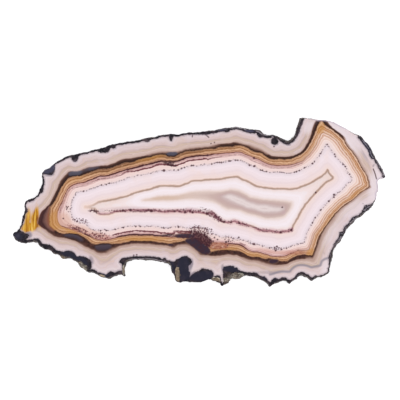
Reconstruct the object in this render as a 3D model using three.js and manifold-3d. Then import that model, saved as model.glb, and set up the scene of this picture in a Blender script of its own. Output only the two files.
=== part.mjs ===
// Agate slice: one flat piece of stone, sawn across a banded nodule and polished on both faces.
// Millimetres, +Z up. It lies on its lower face, with the Z axis through the middle of its outline.
//
// The edge is the nodule's natural skin: a rough dark rind, steeper in some places than in others,
// with crumbs of the host rock left on it in broken ledges. Two stretches have lost the rind and
// end in a plain chipped edge of clear stone.

import * as THREE from 'three';
import { mergeVertices } from 'three/addons/utils/BufferGeometryUtils.js';
import Module from 'manifold-3d';

// Driving dimensions
const LENGTH = 149.5; // widest across the outline, along X
const THICKNESS = 5; // between the two sawn faces

// How far the sides are from upright, as a share of each stretch's setback, from the top face down.
// 'waves' is how much of the skin's unevenness shows at that height.
const LEVELS = [
  { height: 1, setback: 1, underside: 0, waves: 0 },
  { height: 0.92, setback: 0.62, underside: 0, waves: 0.35 },
  { height: 0.74, setback: 0.2, underside: 0, waves: 0.9 },
  { height: 0.5, setback: 0, underside: 0, waves: 1 },
  { height: 0.26, setback: 0, underside: 0.3, waves: 0.9 },
  { height: 0.08, setback: 0, underside: 0.7, waves: 0.35 },
  { height: 0, setback: 0, underside: 1, waves: 0 },
];

// The skin's relief: slow swellings that lean with the height, and crumbs from point to point
const SKIN = {
  deepest: 0.9, // how far in the deepest hollow goes
  swellings: 0.22, // share of that in each row of swellings
  crumbs: 0.42, // share that differs from one point to the next
  rowAlongX: { pitch: 0.83, lean: 1.1, start: 0 },
  rowAlongY: { pitch: 0.91, lean: -0.7, start: 2 },
  seed: 11,
};
const BARE_RELIEF = 0.3; // how much of the skin's relief a stretch without rind keeps

// The lower face is smaller all round, by more in some places than in others
const UNDERSIDE_SETBACK = { least: 0.25, most: 0.75, pitchX: 0.31, pitchY: 0.47 };

// The outline, seen from above, clockwise from the left corner. 'setback' is how far the polished
// face stops short of the outline there, and 'rind' says whether the rough skin is still on.
const OUTLINE = [
  {
    place: 'left corner and left side',
    setback: 0.35,
    rind: true,
    points: [
      [-75.1, -14.0], [-74.8, -13.1], [-73.7, -12.5], [-72.6, -11.3], [-71.9, -10.0], [-71.45, -8.6],
      [-71.4, -7.2], [-71.0, -5.8], [-70.45, -4.6], [-70.25, -3.4], [-70.55, -2.2], [-70.3, -1.0],
      [-69.6, -0.2], [-68.6, 0.4], [-67.4, 0.8], [-66.2, 1.4], [-65.2, 2.2], [-64.9, 3.2],
      [-64.3, 4.6], [-63.6, 6.0], [-63.2, 7.2], [-63.3, 8.4], [-63.7, 9.8], [-63.5, 10.9],
    ],
  },
  {
    place: 'long upper side',
    setback: 0.4,
    rind: true,
    points: [
      [-62.8, 11.8], [-61.6, 12.4], [-60.2, 13.1], [-59.2, 14.2], [-58.3, 15.1], [-57.2, 15.7],
      [-55.8, 16.4], [-54.6, 17.2], [-53.0, 17.9], [-51.2, 18.2], [-49.6, 18.5], [-48.2, 18.9],
      [-47.0, 19.25], [-45.5, 19.55], [-43.8, 19.95], [-42.0, 20.4], [-39.5, 21.05], [-38.0, 21.5],
      [-36.6, 22.0], [-34.1, 22.6], [-33.0, 23.0], [-31.3, 23.05], [-29.5, 23.5], [-26.1, 23.9],
      [-24.0, 24.2], [-22.0, 24.9], [-20.8, 25.25], [-19.0, 25.4], [-17.2, 25.8], [-16.0, 26.2],
      [-14.0, 26.35], [-11.6, 26.6], [-10.0, 26.4], [-8.4, 26.45], [-7.2, 26.85], [-5.0, 27.2],
      [-2.0, 27.25], [0.0, 27.35], [1.6, 27.7],
    ],
  },
  {
    place: 'crest, where the skin stands off the face as a second ridge',
    setback: 0.75,
    rind: true,
    points: [
      [3.2, 27.95], [5.2, 28.0], [6.4, 28.5], [8.0, 28.9], [10.0, 29.0], [12.4, 29.3], [14.4, 29.6],
      [16.6, 29.3], [18.4, 28.9], [20.4, 28.5], [22.0, 28.4], [23.2, 28.2], [24.3, 27.9],
      [24.9, 27.1], [26.2, 26.45], [27.8, 26.25], [29.2, 26.35], [30.2, 26.15],
    ],
  },
  {
    place: 'notch below the horn',
    setback: 0.9,
    rind: true,
    points: [
      [31.2, 25.75], [32.2, 25.2], [33.6, 24.6], [35.0, 24.05], [36.0, 24.5], [37.0, 25.3],
      [37.7, 26.2], [38.0, 27.6], [38.4, 29.0], [38.9, 30.4], [39.4, 31.8], [39.8, 33.0],
      [40.8, 33.3], [41.6, 33.2],
    ],
  },
  {
    place: 'top of the horn, broken clean',
    setback: 0.25,
    rind: false,
    points: [
      [43.0, 32.8], [44.8, 32.65], [46.6, 32.35], [48.2, 32.3], [49.8, 32.2], [51.6, 31.8],
      [54.0, 31.1], [56.0, 30.1], [58.2, 28.9], [60.3, 27.5], [61.8, 26.9], [63.0, 26.5],
    ],
  },
  {
    place: 'right side',
    setback: 0.6,
    rind: true,
    points: [
      [64.3, 26.0], [65.4, 24.6], [66.4, 23.6], [67.4, 22.4], [68.2, 21.4], [69.0, 20.2],
      [69.6, 19.0], [70.2, 17.6], [71.0, 16.2], [72.0, 14.8], [72.8, 13.6], [73.4, 12.2],
      [73.8, 11.0], [74.15, 10.0], [74.4, 9.2], [74.2, 8.8],
    ],
  },
  {
    place: 'right end, broken clean',
    setback: 0.55,
    rind: false,
    points: [
      [73.2, 8.55], [72.0, 8.2], [71.2, 7.6], [71.15, 7.0], [71.5, 6.0], [71.6, 4.6], [71.5, 3.2],
      [70.85, 2.7], [70.9, 1.6], [70.7, 0.4], [70.35, -0.4],
    ],
  },
  {
    place: 'lower right side',
    setback: 0.85,
    rind: true,
    points: [
      [70.2, -1.0], [69.6, -2.0], [68.8, -3.0], [68.0, -3.9], [67.0, -4.7], [66.0, -5.5],
      [65.2, -6.2], [64.6, -7.1], [63.2, -7.4], [62.2, -8.2], [61.4, -9.3], [60.4, -10.0],
      [59.0, -11.6], [58.6, -12.8], [58.0, -13.8], [57.75, -15.0], [57.0, -15.8], [56.3, -16.8],
      [55.2, -17.8], [54.4, -19.2], [53.6, -20.0], [53.3, -21.2], [53.6, -22.4], [53.1, -23.4],
      [53.0, -24.6], [52.5, -25.8], [52.4, -27.4], [52.0, -29.0],
    ],
  },
  {
    place: 'lower edge, right of the spike',
    setback: 0.75,
    rind: true,
    points: [
      [51.4, -29.5], [50.6, -30.1], [49.8, -30.7], [48.8, -31.3], [47.6, -31.2], [46.6, -31.4],
      [45.8, -32.1], [44.8, -32.8], [44.0, -32.5], [43.4, -31.7], [42.8, -31.2], [41.8, -31.1],
      [41.0, -30.5], [40.0, -30.4], [39.4, -31.0], [38.9, -31.9], [38.0, -32.2], [37.0, -32.8],
      [36.2, -33.8], [35.6, -34.0], [34.8, -33.3], [34.0, -32.7], [33.0, -32.6], [32.0, -32.9],
      [31.1, -33.5], [30.0, -33.75], [29.0, -34.3], [28.4, -34.9], [28.0, -35.2], [27.5, -34.9],
    ],
  },
  {
    place: 'lower edge, from the spike to the tongue',
    setback: 0.6,
    rind: true,
    points: [
      [26.8, -33.8], [26.0, -33.0], [25.0, -32.4], [24.0, -32.2], [23.0, -31.5], [22.0, -31.0],
      [21.0, -30.7], [19.6, -30.8], [18.6, -30.6], [17.4, -30.8], [16.8, -31.2], [16.2, -31.9],
      [14.8, -31.8], [13.2, -31.9], [12.4, -32.0], [11.9, -32.6], [11.6, -33.4], [10.6, -33.8],
      [9.6, -34.2], [8.9, -34.75], [8.3, -34.4], [8.0, -33.4],
    ],
  },
  {
    place: 'lower edge, from the tongue to the bay',
    setback: 0.35,
    rind: true,
    points: [
      [6.8, -33.0], [5.8, -32.8], [4.8, -32.7], [4.4, -32.1], [3.3, -32.0], [2.0, -32.6],
      [0.0, -33.2], [-2.0, -33.2], [-3.0, -33.0], [-4.0, -33.2], [-4.6, -32.8], [-6.0, -32.8],
      [-7.2, -32.85], [-8.0, -33.3], [-9.2, -33.2], [-9.8, -32.6], [-10.1, -31.2], [-10.4, -30.0],
    ],
  },
  {
    place: 'bay, right wall and roof',
    setback: 0.85,
    rind: true,
    points: [
      [-11.0, -29.7], [-11.4, -29.0], [-11.6, -28.0], [-11.85, -26.8], [-12.2, -26.1],
      [-13.0, -25.6], [-14.0, -25.6], [-15.0, -25.1], [-16.0, -25.0], [-17.2, -24.6],
      [-19.0, -24.3], [-20.4, -24.2], [-21.8, -24.4], [-23.0, -24.15], [-26.0, -24.35],
      [-27.8, -24.6],
    ],
  },
  {
    place: 'bay, left wall, a slanting break',
    setback: 1.15,
    rind: true,
    points: [
      [-28.8, -24.9], [-29.4, -25.6], [-29.7, -26.6], [-29.95, -28.0], [-29.9, -29.4],
    ],
  },
  {
    place: 'lower edge, left of the bay',
    setback: 0.7,
    rind: true,
    points: [
      [-29.6, -30.2], [-29.9, -30.8], [-30.6, -30.6], [-31.4, -29.9], [-32.4, -30.2],
      [-33.0, -30.6], [-34.2, -30.8], [-35.2, -31.3], [-36.0, -31.9], [-37.0, -31.8],
      [-38.0, -31.3], [-39.8, -31.2], [-40.6, -30.6], [-41.4, -30.2], [-42.0, -29.6],
      [-43.2, -29.4], [-44.6, -29.3], [-45.6, -28.8], [-46.6, -28.0], [-47.8, -27.5],
      [-48.6, -26.4], [-49.2, -25.4], [-50.0, -24.8], [-51.0, -24.2], [-51.8, -23.8],
      [-52.4, -23.5], [-53.4, -23.7], [-55.0, -23.9], [-55.8, -23.5], [-56.2, -22.6],
    ],
  },
  {
    place: 'lower left edge',
    setback: 0.7,
    rind: true,
    points: [
      [-57.0, -22.0], [-58.2, -21.9], [-59.2, -21.4], [-59.8, -20.6], [-60.8, -20.2],
      [-62.4, -19.9], [-63.2, -19.2], [-64.4, -18.8], [-64.9, -17.8], [-65.3, -17.1],
      [-66.4, -17.1], [-67.6, -17.3], [-70.0, -17.6], [-71.2, -17.35], [-72.8, -17.1],
      [-73.8, -16.4], [-74.4, -16.0], [-74.75, -15.0],
    ],
  },
];

// Broken ledges of crumbly host rock, lower than the polished face: where each hollow is, how wide
// it is and how deep it goes.
const LEDGES = [
  {
    place: 'right of the tongue',
    radius: 1.8,
    depth: 1.3,
    hollows: [
      [11.4, -30.8], [12.9, -30.7], [14.4, -30.8], [15.9, -31.2], [11.2, -32.3], [12.9, -32.3],
      [14.6, -32.4], [11.0, -33.6],
    ],
  },
  {
    place: 'left of the tongue',
    radius: 1.2,
    depth: 0.7,
    hollows: [[5.1, -32.4], [6.2, -32.2], [7.2, -32.5]],
  },
  {
    place: 'right wall of the bay',
    radius: 1.25,
    depth: 0.8,
    hollows: [[-9.0, -33.0], [-9.0, -31.5], [-8.95, -30.1], [-8.8, -28.7]],
  },
  {
    place: 'lower edge, left',
    radius: 1.6,
    depth: 1.2,
    hollows: [[-49.0, -25.6], [-47.9, -26.2], [-47.0, -26.8], [-46.3, -27.8]],
  },
  {
    place: 'lower edge, far left',
    radius: 1.3,
    depth: 0.9,
    hollows: [[-56.0, -22.8], [-55.0, -23.4], [-54.0, -23.7]],
  },
];

const UNEVEN_HOLLOWS = { share: 0.22, fromOneToNext: 2.4, fromPlaceToPlace: 0.7 };
const HOLLOW_RAISED = 0.13; // how far the middle of a hollow is above the polished face

// Pits in the skin all round the edge
const PIT = {
  count: 54,
  leastRadius: 0.8,
  mostRadius: 1.5,
  outside: 0.55, // how far the middle of a pit is outside the skin, as a share of its radius
  clearOfFaces: 0.25,
  seed: 7,
};

const SHORTEST_EDGE = 0.04; // corners closer together than this are one corner
const RANDOM = { multiplier: 16807, modulus: 2147483647 };

const outlinePoints = OUTLINE.flatMap(({ points }) => points.map(([x, y]) => new THREE.Vector2(x, y)));
const outlineBox = new THREE.Box2().setFromPoints(outlinePoints);
const middle = outlineBox.getCenter(new THREE.Vector2());
const scale = LENGTH / outlineBox.getSize(new THREE.Vector2()).x;

const STONE = new THREE.MeshStandardMaterial({ color: 0xd8c2b8, roughness: 0.25, metalness: 0 });

// The outline's units and place are its own. This gives a point of it on the part.
function placed([x, y]) {
  return new THREE.Vector2(x, y).sub(middle).multiplyScalar(scale);
}

// The outline as one ring of points round the Z axis, each with its outward direction
function outlineRing() {
  const ring = OUTLINE.flatMap((stretch) =>
    stretch.points.map((point) => ({
      at: placed(point),
      setback: stretch.setback,
      relief: stretch.rind ? 1 : BARE_RELIEF,
    })),
  );
  return ring.map((point, i) => ({
    at: point.at,
    outward: outwardDirection(ring, i),
    setback: smoothed(ring, i, 'setback'),
    relief: smoothed(ring, i, 'relief'),
  }));
}

// The ring runs clockwise, so outward is a quarter turn anticlockwise from the way along it
function outwardDirection(ring, i) {
  const along = new THREE.Vector2();
  for (const reach of [1, 2]) {
    const ahead = ring[(i + reach) % ring.length].at;
    const behind = ring[(i - reach + ring.length) % ring.length].at;
    along.add(ahead.clone().sub(behind).normalize());
  }
  return new THREE.Vector2(-along.y, along.x).normalize();
}

function smoothed(ring, i, name) {
  const before = ring[(i - 1 + ring.length) % ring.length][name];
  const after = ring[(i + 1) % ring.length][name];
  return (before + 2 * ring[i][name] + after) / 4;
}

function wave(row, place, height) {
  return Math.sin(row.pitch * place + row.lean * height + row.start);
}

// How hollow the skin is at a point of the ring and a height, from 0 to 1. 'crumb' is from 0 to 1.
function skinHollow(point, height, crumb) {
  const rows = wave(SKIN.rowAlongX, point.at.x, height) + wave(SKIN.rowAlongY, point.at.y, height);
  const share = 0.5 + SKIN.swellings * rows + SKIN.crumbs * (crumb - 0.5);
  return THREE.MathUtils.clamp(share, 0, 1);
}

function undersideSetback(point) {
  const { least, most, pitchX, pitchY } = UNDERSIDE_SETBACK;
  const share = 0.5 + 0.5 * Math.sin(pitchX * point.at.x + pitchY * point.at.y);
  return THREE.MathUtils.lerp(least, most, share);
}

// How far in from the outline the side is at each level. The level that stands out most reaches
// the outline itself.
function sideProfile(point, random) {
  const insets = LEVELS.map((level) => {
    const hollow = skinHollow(point, level.height * THICKNESS, random());
    const skin = SKIN.deepest * point.relief * level.waves * hollow;
    return point.setback * level.setback + undersideSetback(point) * level.underside + skin;
  });
  const least = Math.min(...insets);
  return insets.map((inset) => inset - least);
}

// The slab: one ring of points for each level, joined by the sides, with both faces flat
function slabGeometry(ring) {
  const positions = [];
  const random = seededRandom(SKIN.seed);
  const profiles = ring.map((point) => sideProfile(point, random));
  LEVELS.forEach((level, k) => {
    ring.forEach((point, i) => {
      const at = point.at.clone().addScaledVector(point.outward, -profiles[i][k]);
      positions.push(at.x, at.y, level.height * THICKNESS);
    });
  });

  const count = ring.length;
  const index = [];
  for (let k = 0; k < LEVELS.length - 1; k += 1) {
    for (let i = 0; i < count; i += 1) {
      const next = (i + 1) % count;
      const upper = k * count;
      const lower = upper + count;
      index.push(upper + i, upper + next, lower + i);
      index.push(upper + next, lower + next, lower + i);
    }
  }
  index.push(...faceTriangles(positions, 0, count, false));
  index.push(...faceTriangles(positions, (LEVELS.length - 1) * count, count, true));

  const geometry = new THREE.BufferGeometry();
  geometry.setAttribute('position', new THREE.Float32BufferAttribute(positions, 3));
  geometry.setIndex(index);
  return geometry;
}

// A flat face over one ring of points. triangulateShape gives triangles that look up.
function faceTriangles(positions, first, count, looksDown) {
  const corners = [];
  for (let i = first; i < first + count; i += 1) {
    corners.push(new THREE.Vector2(positions[3 * i], positions[3 * i + 1]));
  }
  return THREE.ShapeUtils.triangulateShape(corners, []).flatMap(([a, b, c]) => {
    const triangle = [first + a, first + b, first + c];
    return looksDown ? triangle.reverse() : triangle;
  });
}

// A blunt lump of twenty facets, which leaves a broken hollow where it is cut away
function lumpGeometry(centre, radii, turn) {
  const lump = new THREE.IcosahedronGeometry(1, 0);
  lump.rotateX(turn);
  lump.rotateZ(2 * turn);
  lump.scale(radii.x, radii.y, radii.z);
  lump.translate(centre.x, centre.y, centre.z);
  return lump;
}

function ledgeLumps() {
  const { share, fromOneToNext, fromPlaceToPlace } = UNEVEN_HOLLOWS;
  return LEDGES.flatMap(({ radius, depth, hollows }) =>
    hollows.map((hollow, i) => {
      const at = placed(hollow);
      const uneven = share * Math.sin(fromOneToNext * i + fromPlaceToPlace * at.x);
      const centre = new THREE.Vector3(at.x, at.y, THICKNESS + HOLLOW_RAISED);
      const radii = new THREE.Vector3(
        radius * (1 - uneven),
        radius * (1 + uneven),
        depth * (1 + uneven) + HOLLOW_RAISED,
      );
      return lumpGeometry(centre, radii, i + at.x);
    }),
  );
}

function pitLumps(ring) {
  const random = seededRandom(PIT.seed);
  const lumps = [];
  while (lumps.length < PIT.count) {
    const point = ring[Math.floor(random() * ring.length)];
    const radius = THREE.MathUtils.lerp(PIT.leastRadius, PIT.mostRadius, random());
    const lowest = radius + PIT.clearOfFaces;
    const height = THREE.MathUtils.lerp(lowest, THICKNESS - lowest, random());
    const turn = Math.PI * random();
    if (point.relief === 1) {
      const centre = point.at.clone().addScaledVector(point.outward, radius * PIT.outside);
      const radii = new THREE.Vector3(radius, radius, radius);
      lumps.push(lumpGeometry(new THREE.Vector3(centre.x, centre.y, height), radii, turn));
    }
  }
  return lumps;
}

// A small generator of numbers from 0 to 1 that gives the same row each time
function seededRandom(seed) {
  let state = seed;
  return () => {
    state = (state * RANDOM.multiplier) % RANDOM.modulus;
    return state / RANDOM.modulus;
  };
}

const wasm = await Module();
wasm.setup();

function toSolid(geometry) {
  geometry.deleteAttribute('normal');
  geometry.deleteAttribute('uv');
  const merged = mergeVertices(geometry);
  return new wasm.Manifold(
    new wasm.Mesh({
      numProp: 3,
      vertProperties: new Float32Array(merged.attributes.position.array),
      triVerts: new Uint32Array(merged.index.array),
    }),
  );
}

function toGeometry(solid) {
  const mesh = solid.getMesh();
  const geometry = new THREE.BufferGeometry();
  geometry.setAttribute('position', new THREE.BufferAttribute(mesh.vertProperties, mesh.numProp));
  geometry.setIndex(withoutShortEdges(geometry.attributes.position, mesh.triVerts));
  const tidied = mergeVertices(geometry.toNonIndexed());
  tidied.computeVertexNormals();
  return tidied;
}

// The triangles with the two corners of every short edge made one. Of the two, the corner nearer a
// sawn face is the one that stays, so that both faces stay flat.
function withoutShortEdges(positions, corners) {
  const becomes = Array.from({ length: positions.count }, (_, i) => i);
  const survivor = (i) => (becomes[i] === i ? i : survivor(becomes[i]));
  const fromMiddle = (i) => Math.abs(positions.getZ(i) - THICKNESS / 2);
  const place = (i) => new THREE.Vector3().fromBufferAttribute(positions, i);
  corners.forEach((corner, i) => {
    const next = corners[i % 3 === 2 ? i - 2 : i + 1];
    const [inner, outer] = [survivor(corner), survivor(next)].sort((a, b) => fromMiddle(a) - fromMiddle(b));
    if (inner !== outer && place(corner).distanceTo(place(next)) < SHORTEST_EDGE) {
      becomes[inner] = outer;
    }
  });

  const index = [];
  for (let i = 0; i < corners.length; i += 3) {
    const [a, b, c] = [corners[i], corners[i + 1], corners[i + 2]].map(survivor);
    if (a !== b && b !== c && c !== a) {
      index.push(a, b, c);
    }
  }
  return index;
}

function agateSlice() {
  const ring = outlineRing();
  const hollows = [...ledgeLumps(), ...pitLumps(ring)].map(toSolid);
  const cut = hollows.reduce((together, hollow) => together.add(hollow));
  const mesh = new THREE.Mesh(toGeometry(toSolid(slabGeometry(ring)).subtract(cut)), STONE);
  mesh.name = 'agate_slice';
  return mesh;
}

const part = new THREE.Group();
part.add(agateSlice());

export default part;
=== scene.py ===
"""The looks of the agate slice: its bands, its polish and its rough skin.

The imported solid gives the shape. Its skin is made finer and crumbled, and both sawn faces are filled,
the upper one with a mesh that is finest beside the thin lines. Every point of the mesh then knows how far
it is, in millimetres, from each line of the banding and how deep in each stain, and the material works its
colours out from that.
"""

import math

import bmesh
import bpy
import numpy as np
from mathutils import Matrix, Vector, kdtree, noise
from mathutils.geometry import delaunay_2d_cdt


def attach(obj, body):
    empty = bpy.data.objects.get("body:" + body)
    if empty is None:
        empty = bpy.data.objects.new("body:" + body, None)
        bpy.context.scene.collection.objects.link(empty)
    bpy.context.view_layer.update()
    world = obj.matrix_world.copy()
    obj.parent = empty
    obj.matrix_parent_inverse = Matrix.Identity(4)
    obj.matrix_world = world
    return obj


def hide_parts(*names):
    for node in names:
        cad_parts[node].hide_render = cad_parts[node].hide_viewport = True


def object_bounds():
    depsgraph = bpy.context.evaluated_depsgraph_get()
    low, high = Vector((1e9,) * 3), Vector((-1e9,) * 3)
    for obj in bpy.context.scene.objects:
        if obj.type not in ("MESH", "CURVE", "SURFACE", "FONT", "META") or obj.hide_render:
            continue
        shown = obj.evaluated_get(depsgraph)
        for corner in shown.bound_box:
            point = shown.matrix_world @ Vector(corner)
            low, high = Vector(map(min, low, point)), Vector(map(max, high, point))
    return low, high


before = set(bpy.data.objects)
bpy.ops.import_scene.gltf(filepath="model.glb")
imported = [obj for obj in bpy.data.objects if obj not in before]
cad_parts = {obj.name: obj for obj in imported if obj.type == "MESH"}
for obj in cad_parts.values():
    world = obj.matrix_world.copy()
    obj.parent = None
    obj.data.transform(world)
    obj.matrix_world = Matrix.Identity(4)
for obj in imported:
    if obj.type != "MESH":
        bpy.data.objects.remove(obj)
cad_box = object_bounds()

MM = 0.001
THICKNESS = (cad_box[1].z - cad_box[0].z) / MM
VIEW_MIDDLE = (0.35, 0.95)  # the middle of the view, on the part, in mm
VIEW_WIDTH = 160.0  # mm across the view at the polished face

# The lines of the banding, in mm from the middle of the view, each listed clockwise from the left end.
# Each closes on itself. They follow one another from the rind inwards.
RIND_INSIDE = [
    (-72.2, -12), (-71.2, -10), (-70.6, -8.4), (-70.2, -7), (-69.7, -5.4), (-69.2, -4.6), (-69.4, -3.6),
    (-69.9, -2.4), (-69.6, -1), (-68.8, -0.5), (-67.6, -0.5), (-66.8, 0), (-65.8, 0.8), (-64.7, 1.7),
    (-64, 2.6), (-63.1, 3.2), (-62.8, 4.4), (-62.9, 5.4), (-62.5, 6.8), (-62.6, 8.4), (-63, 9.8),
    (-62.8, 10.5), (-62.2, 10.4), (-60.8, 10.4), (-59.6, 10.1), (-58.6, 11), (-58.2, 12.4), (-58.1, 14.2),
    (-57.2, 14.8), (-55.8, 15.5), (-54.4, 16.3), (-52.8, 17), (-51.4, 17.3), (-51.1, 16.5), (-50.6, 15.8),
    (-50, 15.5), (-49.4, 15.8), (-49, 16.6), (-48.8, 17.6), (-47, 18.4), (-45, 18.8), (-43, 19.3),
    (-41.4, 19.8), (-40, 19.3), (-38.2, 19.1), (-36.8, 19.5), (-36, 20.8), (-35.2, 21), (-34.6, 20.7),
    (-33.9, 21.1), (-33.5, 22), (-31.3, 22.2), (-29.5, 22.6), (-26.1, 23.1), (-24, 23.4), (-22.4, 23.9),
    (-21.6, 23.4), (-20.6, 23.5), (-20, 24.2), (-19, 24.5), (-17.2, 24.9), (-16, 25.3), (-14, 25.5),
    (-12.4, 25.5), (-12, 24.6), (-11.5, 23.8), (-11, 24.7), (-10.4, 25.5), (-8.4, 25.6), (-7.2, 26),
    (-5, 26.3), (-2, 26.4), (0, 26.5), (4, 26.6), (8, 27.5), (9.6, 27.4), (11.2, 27.4), (12.4, 28.2),
    (15, 28.5), (17.6, 27.7), (19, 27.2), (21.6, 26.8), (22.8, 27.2), (23, 26.2), (24, 25.2), (25.4, 25.3),
    (27.6, 25), (28.8, 25.3), (29.6, 25.1), (29.5, 24.6), (28.9, 24.1), (28.7, 23.3), (29.1, 22.6),
    (29.9, 22.3), (30.7, 22.5), (31.1, 23.2), (31, 23.9), (30.5, 24.4), (30.6, 24.8), (31.2, 24.6),
    (32.1, 23.8), (33, 23.2), (34, 22.7), (35, 22.4), (36.6, 23.2), (38, 24.4), (38.8, 25.6), (39.6, 27.2),
    (40, 28.8), (40.5, 30), (40.9, 31.4), (41.5, 32.8), (42.2, 34.4), (47, 34), (53, 33), (58, 30.6),
    (62, 28.4), (64, 27.6), (63.3, 25.4), (64.6, 23.6), (65.6, 22.2), (66.8, 20.6), (67.7, 19), (68, 17.6),
    (68.8, 16.7), (69.6, 16.4), (70.2, 15.2), (71, 14.2), (71.6, 12.8), (72.4, 11.6), (73, 10.4), (73.2, 9),
    (75, 7.6), (73.4, 5), (73, 2), (72.4, -1), (70.2, -1), (68, -2), (66, -2.6), (65.6, -3.8), (65, -4.8),
    (63.8, -6), (62.2, -6.6), (61, -7.2), (60.2, -8.2), (59.4, -9.6), (58.2, -10.4), (57.6, -11.6),
    (57.2, -12.6), (56, -13.2), (55.8, -14.6), (54.8, -16.2), (53.8, -17.8), (53.2, -19.2), (52.4, -21),
    (51.6, -22.8), (51.8, -24.6), (51.8, -26), (51.4, -28.8), (50, -29.8), (48.8, -30.2), (47.2, -30.6),
    (46, -30.4), (45.2, -31.2), (44.2, -31), (43.2, -30), (42, -29.6), (40.8, -29), (39.6, -29.3),
    (38.8, -30), (38, -31.2), (36.4, -32), (35, -32), (34.2, -31.2), (32.8, -31.2), (31.6, -31.8),
    (30.2, -31.3), (29.4, -31.6), (28.6, -32.6), (28, -33.4), (27.4, -32.8), (26.6, -31.6), (25.6, -30.8),
    (24.2, -30.6), (23.2, -30), (22.4, -29.3), (20.6, -29.2), (19, -29.2), (17.2, -28.8), (15.2, -28),
    (14.6, -27.2), (13.4, -27.6), (13.2, -26.7), (9.6, -26.9), (9.4, -29.2), (9.4, -31), (9.1, -33.7),
    (8.2, -32), (7.8, -30.5), (6.4, -30.6), (5, -31), (5.3, -29.6), (4.6, -28.5), (2.6, -27.8), (1, -27.6),
    (0, -28.2), (-1.6, -29), (-3, -30), (-4.2, -31.2), (-4.2, -30), (-4.2, -29), (-4.8, -28), (-4.6, -26.2),
    (-3.6, -25.2), (-3.6, -24.2), (-4.8, -23), (-6.2, -22.6), (-8, -23.4), (-9.4, -24), (-10, -24.8),
    (-11.6, -24.6), (-13.4, -24.2), (-14.2, -23.3), (-15.2, -23.8), (-16.4, -23.3), (-19.4, -22.8),
    (-24, -22.8), (-27, -22.9), (-29, -23.2), (-30.6, -23.4), (-31.6, -24), (-32, -25), (-31, -25.8),
    (-31, -29.2), (-31.6, -28.5), (-33, -28.6), (-34, -29.2), (-35.2, -28.8), (-36.4, -29), (-37, -29.8),
    (-38, -30), (-39.6, -29.4), (-41, -29.2), (-41.6, -28.6), (-42.6, -28), (-44, -28), (-43.8, -27.2),
    (-43.5, -25.6), (-43.8, -24.4), (-44.8, -23.6), (-46, -23), (-47.6, -22.7), (-49.4, -22.8), (-50, -22),
    (-50.8, -21), (-52, -20.5), (-53.4, -20.5), (-54.4, -21), (-56, -20.6), (-57.6, -20.3), (-58.2, -19.6),
    (-59, -18.8), (-60.2, -18.2), (-61.6, -18), (-63.2, -17.6), (-64, -16.4), (-65, -15.6), (-66.2, -15.6),
    (-67, -16), (-70, -16.1), (-69.6, -15.6), (-69, -14.8), (-68.6, -14), (-69.6, -13.6), (-71, -12.8),
]
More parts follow.
